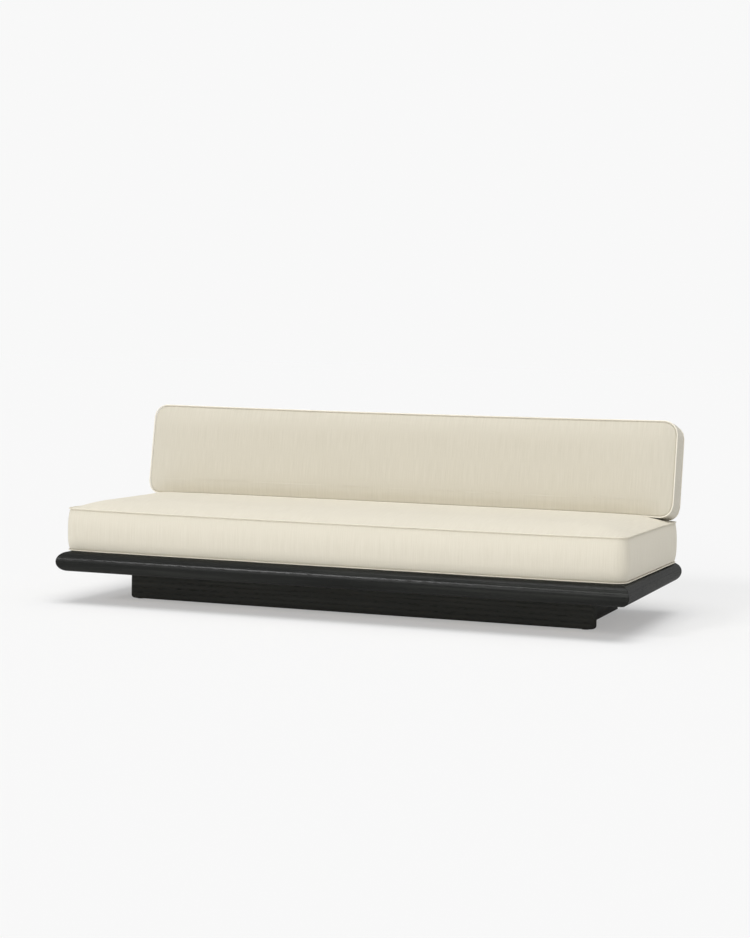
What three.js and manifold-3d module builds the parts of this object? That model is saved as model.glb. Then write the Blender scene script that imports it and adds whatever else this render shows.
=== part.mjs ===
// Low upholstered divan: an oak platform with a round edge on a recessed plinth, one long seat
// cushion and one long back cushion that leans on a board behind it.
// Millimetres, +Z up, +X to the right and +Y to the back; the origin is on the floor.

import * as THREE from 'three';
import { mergeVertices } from 'three/addons/utils/BufferGeometryUtils.js';
import Module from 'manifold-3d';

// Platform frame
const platformLength = 2200;
const platformDepth = 900;
const railThickness = 74;
const railWidth = 110;
const deckThickness = 18;
const rebateWidth = 20;
const crossRailWidth = 45;
const crossRailEndGap = 120;
const crossRailCount = 5;
const housingDepth = 12;
const splineLength = 80;
const splineWidth = 40;
const splineThickness = 6;

// Plinth
const plinthHeight = 120;
const glideHeight = 2;
const glideMargin = 4;
const boardThickness = 38;
const plinthEndSetback = 180;
const plinthFrontSetback = 266;
const plinthRearSetback = 40;
const plinthSideInset = 55;
const boardEndRadius = 15;
const boardCornerRadius = 12;
const blockLeg = 60;
const blockLift = 28;

// Back support
const barWidth = 60;
const barThickness = 8;
const bendRadius = 12;
const bracketInset = 250;
const bracketNames = ['left', 'centre', 'right'];
const bracketFootGap = 6;
const bracketBendHeight = 353;
const bracketTipDrop = 15;
const backLean = THREE.MathUtils.degToRad(9.5);
const backBoardInset = 137;
const backBoardHeight = 220;
const backBoardThickness = 18;
const backBoardRadius = 30;
const backBoardLift = 85;
const stripHeight = 50;
const stripThickness = 1.5;
const stripInset = 100;

// Seat cushion, measured between its seams
const seatEndInset = 15;
const seatFrontInset = 50;
const seatRearInset = 22;
const seatBorder = 155;
const seatCornerRadius = 40;
const seatCrown = 33;
const seatCrownWidth = 140;
const seatRearPress = 260;
const seatRearRoll = 60;
const seatRearDrop = 7;
const seatEndLift = 2.5;
const seatFrontBow = 14;
const seatBulge = 8;
const seatRearBulge = 2;

// Back cushion, measured between its seams
const backEndInset = 13;
const backHeight = 358;
const backThickness = 128;
const backCornerRadius = 52;
const backCrown = 13;
const backCrownWidth = 92;
const backDrawIn = 5;
const backBulge = 5;
const backLowerBulge = 2;

// Covers, piping and zips
const coverThickness = 3;
const pipingRadius = 2.5;
const pipingJoint = 0.8;
const restCrownWidth = 40;
const zipEndInset = 338;
const zipTapeWidth = 28;
const zipTapeThickness = 1;
const zipCoilWidth = 6;
const zipSlot = 10;
const zipSlotMargin = 6;
const zipGrooveMargin = 3;
const sliderLength = 14;
const sliderWall = 1.2;
const sliderFlange = 2;

// Screws
const screwRadius = 2.5;
const screwLength = 45;
const screwHeadRadius = 4.8;
const screwHeadDepth = 2.6;
const screwTipLength = 6;
const footScrewShares = [0.15, 0.68];
const boardScrewLength = 20;
const boardScrewShares = [0.2, 0.8];
const buttonHeadRadius = 5.5;
const buttonHeadHeight = 2.8;

// Clearances and cuts
const clearance = 0.3;
const softClearance = 0.5;
const overrun = 5;
const weldTolerance = 0.0001;

const underside = plinthHeight;
const deckTop = underside + railThickness;
const rearEdge = platformDepth / 2;
const boardHeight = plinthHeight - glideHeight;
const plinthFrontLength = platformLength - 2 * plinthEndSetback;
const seatLength = platformLength - 2 * seatEndInset;
const seatDepth = platformDepth - seatFrontInset - seatRearInset;
const backLength = platformLength - 2 * backEndInset;
const backBoardLength = backLength - 2 * backBoardInset;
const seamBevel = (pipingRadius + clearance) * Math.SQRT2;

const wasm = await Module();
wasm.setup();

// Materials, one per finish
const finish = (color, roughness, metalness = 0) => ({ color, roughness, metalness });
const blackOak = finish(0x1f1f1e, 0.45);
const birchPly = finish(0xc9ad82, 0.7);
const pine = finish(0xcfb184, 0.75);
const linen = finish(0xdcd6c4, 0.95);
const linenPiping = finish(0xe2dccb, 0.95);
const foam = finish(0xe6dcb4, 0.95);
const blackSteel = finish(0x1c1c1c, 0.5, 0.1);
const zincSteel = finish(0x9a9a98, 0.4, 0.9);
const nylon = finish(0x2b2b2b, 0.6);
const tape = finish(0xd2ccba, 0.9);

const divan = new THREE.Group();

function addMesh(parent, name, geometry, look) {
  const mesh = new THREE.Mesh(geometry, new THREE.MeshStandardMaterial(look));
  mesh.name = name;
  parent.add(mesh);
  return mesh;
}

// Closed geometry to solid and back, for cutting one shape with another

function solid(geometry) {
  const plain = geometry.clone();
  plain.deleteAttribute('normal');
  plain.deleteAttribute('uv');
  const welded = mergeVertices(plain, weldTolerance);
  return new wasm.Manifold(new wasm.Mesh({
    numProp: 3,
    vertProperties: new Float32Array(welded.attributes.position.array),
    triVerts: new Uint32Array(welded.index.array),
  }));
}

function geometryOf(shape) {
  const cut = shape.getMesh();
  const geometry = new THREE.BufferGeometry();
  geometry.setAttribute('position', new THREE.BufferAttribute(new Float32Array(cut.vertProperties), 3));
  geometry.setIndex(new THREE.BufferAttribute(new Uint32Array(cut.triVerts), 1));
  return geometry;
}

function cutAway(geometry, cutters) {
  const left = cutters.reduce((rest, cutter) => rest.subtract(solid(cutter)), solid(geometry));
  return geometryOf(left);
}

// A box given by its lowest and highest corners
function block(low, high) {
  const size = high.map((value, i) => value - low[i]);
  const middle = high.map((value, i) => (value + low[i]) / 2);
  return new THREE.BoxGeometry(...size).translate(...middle);
}

// Evenly spaced places from -reach to +reach
function spread(count, reach) {
  return Array.from({ length: count }, (_, i) => (2 * i / (count - 1) - 1) * reach);
}

// An outline drawn in Y and Z, extruded along X and centred on X = 0
function extrudeAlongX(shape, length, curveSegments = 12) {
  const geometry = new THREE.ExtrudeGeometry(shape, { depth: length, bevelEnabled: false, curveSegments });
  geometry.translate(0, 0, -length / 2);
  const turn = new THREE.Matrix4().makeBasis(
    new THREE.Vector3(0, 1, 0), new THREE.Vector3(0, 0, 1), new THREE.Vector3(1, 0, 0));
  return geometry.applyMatrix4(turn);
}

function roundedRectangle(width, height, radius) {
  const [x, y] = [width / 2 - radius, height / 2 - radius];
  const shape = new THREE.Shape();
  shape.absarc(x, y, radius, 0, Math.PI / 2);
  shape.absarc(-x, y, radius, Math.PI / 2, Math.PI);
  shape.absarc(-x, -y, radius, Math.PI, 1.5 * Math.PI);
  shape.absarc(x, -y, radius, 1.5 * Math.PI, 2 * Math.PI);
  shape.closePath();
  return shape;
}

// Platform rails: a half-round outer edge, a rebate for the deck and mitred ends.
// Each is drawn with its outer edge towards +Y and its inner face on Y = 0.

function railGeometry(length) {
  const edgeRadius = railThickness / 2;
  const flat = railWidth - edgeRadius;
  const section = new THREE.Shape();
  section.moveTo(0, 0);
  section.lineTo(flat, 0);
  section.absarc(flat, edgeRadius, edgeRadius, -Math.PI / 2, Math.PI / 2);
  section.lineTo(rebateWidth, railThickness);
  section.lineTo(rebateWidth, railThickness - deckThickness);
  section.lineTo(0, railThickness - deckThickness);
  section.closePath();
  const geometry = extrudeAlongX(section, 1, 9);
  const place = geometry.attributes.position;
  const jointGap = clearance * Math.SQRT1_2;
  for (let i = 0; i < place.count; i += 1) {
    const reach = length / 2 - railWidth + place.getY(i) - jointGap;
    place.setX(i, place.getX(i) * 2 * reach);
  }
  return geometry;
}

const splineHeight = (railThickness - deckThickness) / 2;

function splineSlots(length) {
  const grow = 2 * clearance;
  return [-1, 1].map((end) => {
    const slot = new THREE.BoxGeometry(splineLength + grow, splineWidth + grow, splineThickness + grow);
    slot.rotateZ(end * Math.PI / 4);
    return slot.translate(end * (length / 2 - railWidth / 2), railWidth / 2, splineHeight);
  });
}

const crossRailReach = platformLength / 2 - railWidth - crossRailEndGap - crossRailWidth / 2;
const crossRailPlaces = spread(crossRailCount, crossRailReach);

function crossRailHousings() {
  const half = crossRailWidth / 2 + clearance;
  return crossRailPlaces.map((x) => block(
    [x - half, -overrun, -overrun],
    [x + half, housingDepth + clearance, railThickness - deckThickness + overrun]));
}

const screwProfile = (grow) => [
  [0, screwLength + grow],
  [screwRadius + grow, screwLength - screwTipLength + grow],
  [screwRadius + grow, screwHeadDepth],
  [screwHeadRadius + grow, 0],
  [0, 0],
].map(([radius, height]) => new THREE.Vector2(radius, height));

// Countersunk screw pointing up, its head flush with Z = 0
function footScrew(grow = 0) {
  const points = screwProfile(grow).reverse();
  if (grow > 0) points.splice(1, 0, new THREE.Vector2(screwHeadRadius + grow, -overrun));
  if (grow > 0) points[0].y = -overrun;
  return new THREE.LatheGeometry(points, 12).rotateX(Math.PI / 2);
}

const longRail = railGeometry(platformLength);
const shortRail = railGeometry(platformDepth);
const railInnerY = rearEdge - railWidth;
const bracketPlaces = spread(bracketNames.length, backBoardLength / 2 - bracketInset);
const footInnerEnd = housingDepth + clearance + bracketFootGap;
const footLength = railWidth + clearance + barThickness - footInnerEnd;
const footScrewPlaces = footScrewShares.map((share) => footInnerEnd + share * footLength);

function bracketHousings() {
  return bracketPlaces.map((x) => block(
    [x - barWidth / 2 - clearance, footInnerEnd - clearance, -overrun],
    [x + barWidth / 2 + clearance, railWidth + overrun, barThickness + clearance]));
}

function footScrewHoles() {
  return bracketPlaces.flatMap(
    (x) => footScrewPlaces.map((y) => footScrew(clearance).translate(x, y, 0)));
}

const plainRail = cutAway(longRail, [...splineSlots(platformLength), ...crossRailHousings()]);
const bracketRail = cutAway(plainRail, [...bracketHousings(), ...footScrewHoles()]);
const endRail = cutAway(shortRail, splineSlots(platformDepth));

function placeRail(name, geometry, turn, distance) {
  const rail = addMesh(divan, name, geometry, blackOak);
  rail.rotation.z = turn;
  rail.position.set(-Math.sin(turn) * distance, Math.cos(turn) * distance, underside);
}

placeRail('rail_rear', bracketRail, 0, railInnerY);
placeRail('rail_front', plainRail, Math.PI, railInnerY);
placeRail('rail_right', endRail, -Math.PI / 2, platformLength / 2 - railWidth);
placeRail('rail_left', endRail.clone(), Math.PI / 2, platformLength / 2 - railWidth);

for (const [name, sideX, sideY] of [
  ['front_left', -1, -1], ['front_right', 1, -1], ['rear_left', -1, 1], ['rear_right', 1, 1]]) {
  const spline = new THREE.BoxGeometry(splineLength, splineWidth, splineThickness);
  const piece = addMesh(divan, `mitre_spline_${name}`, spline, birchPly);
  piece.rotation.z = sideX * sideY * Math.PI / 4;
  piece.position.set(
    sideX * (platformLength / 2 - railWidth / 2),
    sideY * (rearEdge - railWidth / 2),
    underside + splineHeight);
}

// Deck panel in the rebate, on cross rails let into the front and rear rails

const deckMargin = railWidth - rebateWidth + clearance;
addMesh(divan, 'deck_panel', block(
  [deckMargin - platformLength / 2, deckMargin - rearEdge, deckTop - deckThickness],
  [platformLength / 2 - deckMargin, rearEdge - deckMargin, deckTop]), birchPly);

crossRailPlaces.forEach((x, i) => {
  const reach = railInnerY + housingDepth;
  addMesh(divan, `cross_rail_${i + 1}`, block(
    [x - crossRailWidth / 2, -reach, underside],
    [x + crossRailWidth / 2, reach, deckTop - deckThickness]), pine);
});

// Plinth: a long front board past recessed side boards, a rear board, a divider and corner blocks

const plinthFront = plinthFrontSetback - rearEdge;
const plinthRear = rearEdge - plinthRearSetback;
const sideOuter = plinthFrontLength / 2 - plinthSideInset;
const sideInner = sideOuter - boardThickness;
const frontInner = plinthFront + boardThickness;
const rearInner = plinthRear - boardThickness;

function frontBoard() {
  const endRadius = Math.min(boardEndRadius, boardThickness / 2);
  const plan = roundedRectangle(plinthFrontLength, boardThickness, endRadius);
  const upright = new THREE.ExtrudeGeometry(
    plan, { depth: boardHeight, bevelEnabled: false, curveSegments: 6 });
  upright.translate(0, 0, glideHeight);
  const [x, foot] = [plinthFrontLength / 2, glideHeight];
  const turn = x - boardCornerRadius;
  const face = new THREE.Shape();
  face.moveTo(x, plinthHeight + overrun);
  face.lineTo(-x, plinthHeight + overrun);
  face.absarc(-turn, foot + boardCornerRadius, boardCornerRadius, Math.PI, 1.5 * Math.PI);
  face.absarc(turn, foot + boardCornerRadius, boardCornerRadius, 1.5 * Math.PI, 2 * Math.PI);
  face.closePath();
  const cutter = new THREE.ExtrudeGeometry(
    face, { depth: boardThickness + 2 * overrun, bevelEnabled: false, curveSegments: 5 });
  cutter.rotateX(Math.PI / 2).translate(0, boardThickness / 2 + overrun, 0);
  const board = geometryOf(solid(upright).intersect(solid(cutter)));
  return board.translate(0, plinthFront + boardThickness / 2, 0);
}

addMesh(divan, 'plinth_front_board', frontBoard(), blackOak);
for (const [name, side] of [['left', -1], ['right', 1]]) {
  const xs = [side * sideInner, side * sideOuter].sort((a, b) => a - b);
  addMesh(divan, `plinth_side_board_${name}`, block(
    [xs[0], frontInner, glideHeight], [xs[1], plinthRear, plinthHeight]), blackOak);
}
addMesh(divan, 'plinth_rear_board', block(
  [-sideInner, rearInner, glideHeight], [sideInner, plinthRear, plinthHeight]), blackOak);
addMesh(divan, 'plinth_divider', block(
  [-boardThickness / 2, frontInner, glideHeight], [boardThickness / 2, rearInner, plinthHeight]), pine);

const blockHeight = boardHeight - blockLift;
for (const [name, side, cornerY, inward] of [
  ['front_left', -1, frontInner, 1], ['front_right', 1, frontInner, 1],
  ['rear_left', -1, rearInner, -1], ['rear_right', 1, rearInner, -1]]) {
  const corner = new THREE.Shape();
  corner.moveTo(0, 0);
  corner.lineTo(-side * blockLeg, 0);
  corner.lineTo(0, inward * blockLeg);
  corner.closePath();
  const wedge = new THREE.ExtrudeGeometry(corner, { depth: blockHeight, bevelEnabled: false });
  const piece = addMesh(divan, `corner_block_${name}`, wedge, pine);
  piece.position.set(side * sideInner, cornerY, plinthHeight - blockHeight);
}

const glideInset = boardThickness / 2;
const glideRadius = glideInset - glideMargin;
for (const [name, x, y] of [
  ['front_left', glideInset * 2 - plinthFrontLength / 2, plinthFront + glideInset],
  ['front_right', plinthFrontLength / 2 - glideInset * 2, plinthFront + glideInset],
  ['rear_left', glideInset - sideOuter, plinthRear - glideInset],
  ['rear_right', sideOuter - glideInset, plinthRear - glideInset]]) {
  const disc = new THREE.CylinderGeometry(glideRadius, glideRadius, glideHeight, 24).rotateX(Math.PI / 2);
  addMesh(divan, `glide_${name}`, disc.translate(x, y, glideHeight / 2), nylon);
}

// Back support: bent steel bars let into the rear rail from below, and the board that they carry

const barFront = rearEdge + clearance;
const leaning = new THREE.Group();
leaning.position.set(0, barFront, bracketBendHeight);
leaning.rotation.x = -backLean;
leaning.updateMatrix();
divan.add(leaning);

// A strip bent round the corners of a centre line, as an outline in Y and Z
function bentStrip(corners, radius, thickness) {
  const path = new THREE.Path();
  path.moveTo(...corners[0]);
  for (let i = 1; i < corners.length - 1; i += 1) {
    const [before, here, after] = [corners[i - 1], corners[i], corners[i + 1]]
      .map(([y, z]) => new THREE.Vector2(y, z));
    const [inward, onward] = [here.clone().sub(before).normalize(), after.clone().sub(here).normalize()];
    const setback = radius * Math.tan(Math.acos(inward.dot(onward)) / 2);
    const start = here.clone().addScaledVector(inward, -setback);
    const end = here.clone().addScaledVector(onward, setback);
    path.lineTo(start.x, start.y);
    path.quadraticCurveTo(here.x, here.y, end.x, end.y);
  }
  path.lineTo(...corners[corners.length - 1]);
  const points = path.getPoints(5);
  const sides = [1, -1].map((side) => points.map((point, i) => {
    const from = points[Math.max(i - 1, 0)];
    const to = points[Math.min(i + 1, points.length - 1)];
    const along = to.clone().sub(from).normalize();
    return new THREE.Vector2(-along.y, along.x).multiplyScalar(side * thickness / 2).add(point);
  }));
  return new THREE.Shape([...sides[0], ...sides[1].reverse()]);
}

const boardScrewHole = (grow) => new THREE.CylinderGeometry(
  screwRadius + grow, screwRadius + grow, boardScrewLength + 2 * grow, 12);

// Screw places in the leaning frame: Y = 0 is the front face of the bar
const boardScrewPlaces = boardScrewShares.map((share) => backBoardLift + share * backBoardHeight);
const boardScrewSpots = bracketPlaces.flatMap((x) => boardScrewPlaces.map((z) => [x, z]));
const boardScrewCentre = barThickness - boardScrewLength / 2;

function bracketGeometry() {
  const half = barThickness / 2;
  const [footZ, legY] = [underside + half, barFront + half];
  const inner = railInnerY + footInnerEnd;
  const tipReach = backBoardLift + backBoardHeight - bracketTipDrop;
  const tip = new THREE.Vector3(0, half, tipReach).applyMatrix4(leaning.matrix);
  const bendZ = bracketBendHeight - half * Math.tan(backLean / 2);
  const outline = bentStrip([[inner, footZ], [legY, footZ], [legY, bendZ], [tip.y, tip.z]],
    bendRadius, barThickness);
  return extrudeAlongX(outline, barWidth);
}

bracketPlaces.forEach((x, i) => {
  const name = bracketNames[i];
  const holes = [
    ...footScrewPlaces.map((y) => footScrew(clearance).translate(0, railInnerY + y, underside)),
    ...boardScrewPlaces.map((z) => boardScrewHole(clearance)
      .translate(0, boardScrewCentre, z).applyMatrix4(leaning.matrix)),
  ];
  const bracket = addMesh(divan, `back_bracket_${name}`, cutAway(bracketGeometry(), holes), blackSteel);
  bracket.position.x = x;
  footScrewPlaces.forEach((y, j) => {
    const screw = addMesh(divan, `bracket_screw_${name}_${j + 1}`, footScrew(), zincSteel);
    screw.position.set(x, railInnerY + y, underside);
  });
});

const boardBack = -clearance;
const boardFront = boardBack - backBoardThickness;

function backBoard() {
  const outline = roundedRectangle(backBoardLength, backBoardHeight, backBoardRadius);
  const geometry = new THREE.ExtrudeGeometry(
    outline, { depth: backBoardThickness, bevelEnabled: false, curveSegments: 6 });
  geometry.rotateX(Math.PI / 2).translate(0, boardBack, backBoardLift + backBoardHeight / 2);
  return cutAway(geometry, boardScrewSpots.map(
    ([x, z]) => boardScrewHole(clearance).translate(x, boardScrewCentre, z)));
}

addMesh(leaning, 'back_board', backBoard(), blackOak);

// Button-head screw from behind, pointing to -Y
function boardScrew() {
  const points = [
    [0, -boardScrewLength], [screwRadius, -boardScrewLength], [screwRadius, 0],
    [buttonHeadRadius, 0], [buttonHeadRadius * Math.SQRT1_2, buttonHeadHeight], [0, buttonHeadHeight],
  ].map(([radius, height]) => new THREE.Vector2(radius, height));
  return new THREE.LatheGeometry(points, 12);
}

boardScrewSpots.forEach(([x, z], i) => {
  const screw = addMesh(leaning, `board_screw_${i + 1}`, boardScrew(), zincSteel);
  screw.position.set(x, barThickness + clearance, z);
});

const stripMiddle = backBoardLift + backBoardHeight / 2;
const stripReach = backBoardLength / 2 - stripInset;
const hookBack = boardFront - clearance;
const hookFront = hookBack - stripThickness;
addMesh(leaning, 'hook_strip', block(
  [-stripReach, hookFront, stripMiddle - stripHeight / 2],
  [stripReach, hookBack, stripMiddle + stripHeight / 2]), nylon);

// Boxed cushions: a top and a bottom panel joined by a border, with piping in both seams.
// Every skin of a cushion is made of rings round the same stations, so that its layers nest.

const cornerSteps = 4;
const longSideSteps = 10;
const shortSideSteps = 4;
const leastCornerShare = 0.25;
const cornerCrowdingShare = 0.5;
const seatZipShare = 0.5;

// Evenly stepped shares drawn towards both ends, where a cushion's form changes most
const crowded = (share) => share - cornerCrowdingShare * Math.sin(2 * Math.PI * share) / (2 * Math.PI);

// Places round a rounded rectangle, anticlockwise from the middle of its +Y side
function stations(halfX, halfY, radius) {
  const [x, y] = [halfX - radius, halfY - radius];
  const corners = [[-x, y, 0.5], [-x, -y, 1], [x, -y, 1.5], [x, y, 0]];
  const ring = [];
  corners.forEach(([cx, cy, start], side) => {
    for (let i = 0; i <= cornerSteps; i += 1) {
      const angle = (start + i / cornerSteps / 2) * Math.PI;
      const out = new THREE.Vector2(Math.cos(angle), Math.sin(angle));
      ring.push({ out, place: new THREE.Vector2(cx, cy).addScaledVector(out, radius) });
    }
    const steps = side % 2 === 0 ? shortSideSteps : longSideSteps;
    const last = ring[ring.length - 1];
    const [nextX, nextY, nextStart] = corners[(side + 1) % 4];
    const nextOut = new THREE.Vector2(Math.cos(nextStart * Math.PI), Math.sin(nextStart * Math.PI));
    const next = new THREE.Vector2(nextX, nextY).addScaledVector(nextOut, radius);
    for (let i = 1; i < steps; i += 1) {
      ring.push({ out: nextOut, place: last.place.clone().lerp(next, crowded(i / steps)) });
    }
  });
  const middle = ring.length - longSideSteps / 2;
  return [...ring.slice(middle), ...ring.slice(0, middle)];
}

const rise = (share) => 1 - (1 - Math.min(share, 1)) ** 2;

// Height of the crowned panel's outer face over a place inside the seam. It rises from every side
// over a width of its own, so that the corners stay low.
function crownHeight(cushion, { x, y }) {
  const { end, front, rear } = cushion.crownWidths;
  const full = rise((cushion.halfX - Math.abs(x) - seamBevel) / end)
    * rise((cushion.halfY + y - seamBevel) / front)
    * rise((cushion.halfY - y - seamBevel) / rear)
    * cushion.press(y);
  return THREE.MathUtils.lerp(cushion.seam({ x, y }), cushion.high + cushion.crown, full);
}

// One ring of a skin: its distance in from the seam line, and its height from a function
function ringAt(cushion, inset, swell, heightAt) {
  const radius = Math.max(cushion.radius - inset, cushion.radius * leastCornerShare);
  return stations(cushion.halfX - inset, cushion.halfY - inset, radius).map(({ out, place }) => {
    const drawn = cushion.draw(place.clone().addScaledVector(out, swell * cushion.bulge(out)));
    return new THREE.Vector3(drawn.x, drawn.y, heightAt(place));
  });
}

// A skin lies at a depth under the outer face; its parts are named from the bottom up
function skinRings(cushion, depth, part, fine) {
  const middle = (cushion.low + cushion.high) / 2;
  const rings = [];
  const panelRing = (inset, z) => rings.push(ringAt(cushion, inset + depth, 0, z));
  const borderRing = (share) => rings.push(ringAt(cushion, depth, Math.sin(share * Math.PI), (place) => {
    const [foot, head] = [cushion.low + depth + seamBevel, cushion.seam(place) - depth - seamBevel];
    return share < 0.5
      ? THREE.MathUtils.lerp(foot, middle, share * 2)
      : THREE.MathUtils.lerp(middle, head, share * 2 - 1);
  }));
  if (part !== 'upper') {
    panelRing(restCrownWidth, () => cushion.low - pipingRadius + depth);
    panelRing(seamBevel, () => cushion.low + depth);
    borderRing(0);
    if (fine) borderRing(0.25);
  }
  borderRing(0.5);
  if (part !== 'lower') {
    if (fine) borderRing(0.75);
    borderRing(1);
    panelRing(seamBevel, (place) => cushion.seam(place) - depth);
    const insets = cushion.insetShares.map((share) => share * cushion.widest);
    insets.filter((_, i) => fine || i % 2 === 1).forEach(
      (inset) => panelRing(inset, (place) => crownHeight(cushion, place) - depth));
  }
  return rings;
}

function closedSkin(rings) {
  const count = rings[0].length;
  const points = rings.flat();
  const index = [];
  for (let k = 0; k < rings.length - 1; k += 1) {
    for (let i = 0; i < count; i += 1) {
      const [a, b] = [k * count + i, k * count + (i + 1) % count];
      index.push(a, b, b + count, a, b + count, a + count);
    }
  }
  const cap = (ring) => THREE.ShapeUtils.triangulateShape(
    ring.map(({ x, y }) => new THREE.Vector2(x, y)), []);
  cap(rings[0]).forEach(([a, b, c]) => index.push(a, c, b));
  const top = (rings.length - 1) * count;
  cap(rings[rings.length - 1]).forEach(([a, b, c]) => index.push(top + a, top + b, top + c));
  const geometry = new THREE.BufferGeometry().setFromPoints(points);
  geometry.setIndex(index);
  return geometry;
}

function coverGeometry(cushion, opening) {
  const outer = solid(closedSkin(skinRings(cushion, 0, 'whole', true)));
  const inner = solid(closedSkin(skinRings(cushion, coverThickness, 'whole', false)));
  return geometryOf(outer.subtract(inner).subtract(solid(opening)));
}

const foamGeometry = (cushion, part) => closedSkin(
  skinRings(cushion, coverThickness + softClearance, part, false));

// Straight runs between stations; each station is one step of the extrusion
class SeamRun extends THREE.Curve {
  constructor(points) {
    super();
    this.points = points;
  }

  getUtoTmapping(u) {
    return u;
  }

  getPoint(t) {
    const at = THREE.MathUtils.clamp(t, 0, 1) * (this.points.length - 1);
    const from = Math.min(Math.floor(at), this.points.length - 2);
    return this.points[from].clone().lerp(this.points[from + 1], at - from);
  }
}

// Piping runs once round a seam, and its ends meet in the middle of the +Y side
function pipingGeometry(cushion, heightAt) {
  const ring = ringAt(cushion, 0, 0, heightAt);
  const [start, end] = [ring[0].clone(), ring[0].clone()];
  start.x -= pipingJoint / 2;
  end.x += pipingJoint / 2;
  const run = new SeamRun([start, ...ring.slice(1), end]);
  const cord = new THREE.Shape();
  cord.absarc(0, 0, pipingRadius, 0, 2 * Math.PI);
  return new THREE.ExtrudeGeometry(cord, { steps: ring.length, extrudePath: run, curveSegments: 3 });
}

// Seat cushion on the deck, pressed down a little along its back by the other cushion

const seatMiddle = seatFrontInset - rearEdge + seatDepth / 2;
const seatLow = deckTop + clearance + pipingRadius;
const seat = {
  halfX: seatLength / 2,
  halfY: seatDepth / 2,
  radius: seatCornerRadius,
  low: seatLow,
  high: seatLow + seatBorder,
  crown: seatCrown,
  widest: seatRearPress + seamBevel,
  insetShares: [0.06, 0.16, 0.31, 0.5, 0.74, 1],
  bulge: (out) => THREE.MathUtils.lerp(seatBulge, seatRearBulge, Math.max(out.y, 0)),
  crownWidths: { end: seatCrownWidth, front: seatCrownWidth, rear: seatRearRoll },
  press: (y) => rise((seat.halfY - y - seamBevel) / seatRearPress),
  seam: (place) => seat.high
    + seatEndLift * (place.x / seat.halfX) ** 4
    - seatRearDrop * (Math.max(place.y, 0) / seat.halfY) ** 2,
  draw: (spot) => {
    const share = spot.y < 0 ? (seatFrontBow / seat.halfY) * (spot.x / seat.halfX) ** 6 : 0;
    return new THREE.Vector2(spot.x, spot.y * (1 - share));
  },
};

const seatGroup = new THREE.Group();
seatGroup.position.y = seatMiddle;
divan.add(seatGroup);

const seatZipZ = THREE.MathUtils.lerp(seat.low, (seat.low + seat.high) / 2, seatZipShare);
const seatZipY = seat.halfY - coverThickness - softClearance;

// The zip's section: a tape behind the cover and a coil that fills the slot. Y = 0 is the tape's face
function zipSection(coilDepth) {
  const [tapeHalf, coilHalf] = [zipTapeWidth / 2, zipCoilWidth / 2];
  return new THREE.Shape([
    [-zipTapeThickness, -tapeHalf], [0, -tapeHalf], [0, -coilHalf], [coilDepth, -coilHalf],
    [coilDepth, coilHalf], [0, coilHalf], [0, tapeHalf], [-zipTapeThickness, tapeHalf],
  ].map(([y, z]) => new THREE.Vector2(y, z)));
}

// The slider's section: a channel that rides on the coil
function sliderSection(coilDepth) {
  const inner = zipCoilWidth / 2 + clearance;
  const [outer, face] = [inner + sliderWall, coilDepth + clearance];
  const [open, back] = [face - sliderFlange, face + sliderWall];
  return new THREE.Shape([
    [open, -outer], [back, -outer], [back, outer], [open, outer],
    [open, inner], [face, inner], [face, -inner], [open, -inner],
  ].map(([y, z]) => new THREE.Vector2(y, z)));
}

const zipCoilDepth = coverThickness + softClearance;
const zipReach = (cushion) => cushion.halfX - zipEndInset;
const zipSlotBox = (cushion) => block(
  [-zipReach(cushion) - zipSlotMargin, -coverThickness - overrun, -zipSlot / 2],
  [zipReach(cushion) + zipSlotMargin + sliderLength, coverThickness + overrun, zipSlot / 2]);
const zipGrooveHeight = zipTapeWidth + 2 * zipGrooveMargin;
const zipGroove = (cushion) => block(
  [-zipReach(cushion) - zipGrooveMargin, -zipTapeThickness - softClearance, -zipGrooveHeight / 2],
  [zipReach(cushion) + zipGrooveMargin, overrun, zipGrooveHeight / 2]);
const zipGeometry = (cushion) => extrudeAlongX(zipSection(zipCoilDepth), 2 * zipReach(cushion));
const sliderGeometry = (cushion) => extrudeAlongX(sliderSection(zipCoilDepth), sliderLength)
  .translate(sliderLength - zipReach(cushion), 0, 0);

const seatCover = coverGeometry(seat, zipSlotBox(seat).translate(0, seat.halfY, seatZipZ));
addMesh(seatGroup, 'seat_cover', seatCover, linen);
addMesh(seatGroup, 'seat_foam_base',
  cutAway(foamGeometry(seat, 'lower'), [zipGroove(seat).translate(0, seatZipY, seatZipZ)]), foam);
addMesh(seatGroup, 'seat_foam_topper', foamGeometry(seat, 'upper'), foam);
addMesh(seatGroup, 'seat_piping_upper', pipingGeometry(seat, (place) => seat.seam(place)), linenPiping);
addMesh(seatGroup, 'seat_piping_lower', pipingGeometry(seat, () => seat.low), linenPiping);

const seatZip = addMesh(seatGroup, 'seat_zip', zipGeometry(seat), tape);
seatZip.position.set(0, seatZipY, seatZipZ);
const seatSlider = addMesh(seatGroup, 'seat_zip_slider', sliderGeometry(seat), zincSteel);
seatSlider.position.set(0, seatZipY, seatZipZ);

// Back cushion: its front panel is the crowned one, and its flat panel lies along the board.
// It is drawn lying down and stood up in the leaning frame.

const back = {
  halfX: backLength / 2,
  halfY: backHeight / 2,
  radius: backCornerRadius,
  low: 0,
  high: backThickness,
  crown: backCrown,
  widest: backCrownWidth + seamBevel,
  insetShares: [0.14, 0.32, 0.58, 1],
  bulge: (out) => THREE.MathUtils.lerp(backBulge, backLowerBulge, Math.max(-out.y, 0)),
  crownWidths: { end: backCrownWidth, front: backCrownWidth, rear: backCrownWidth },
  press: () => 1,
  seam: () => back.high,
  draw: (spot) => {
    const share = spot.y > 0 ? (backDrawIn / back.halfY) * (1 - (spot.x / back.halfX) ** 2) : 0;
    return new THREE.Vector2(spot.x, spot.y * (1 - share));
  },
};

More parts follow.
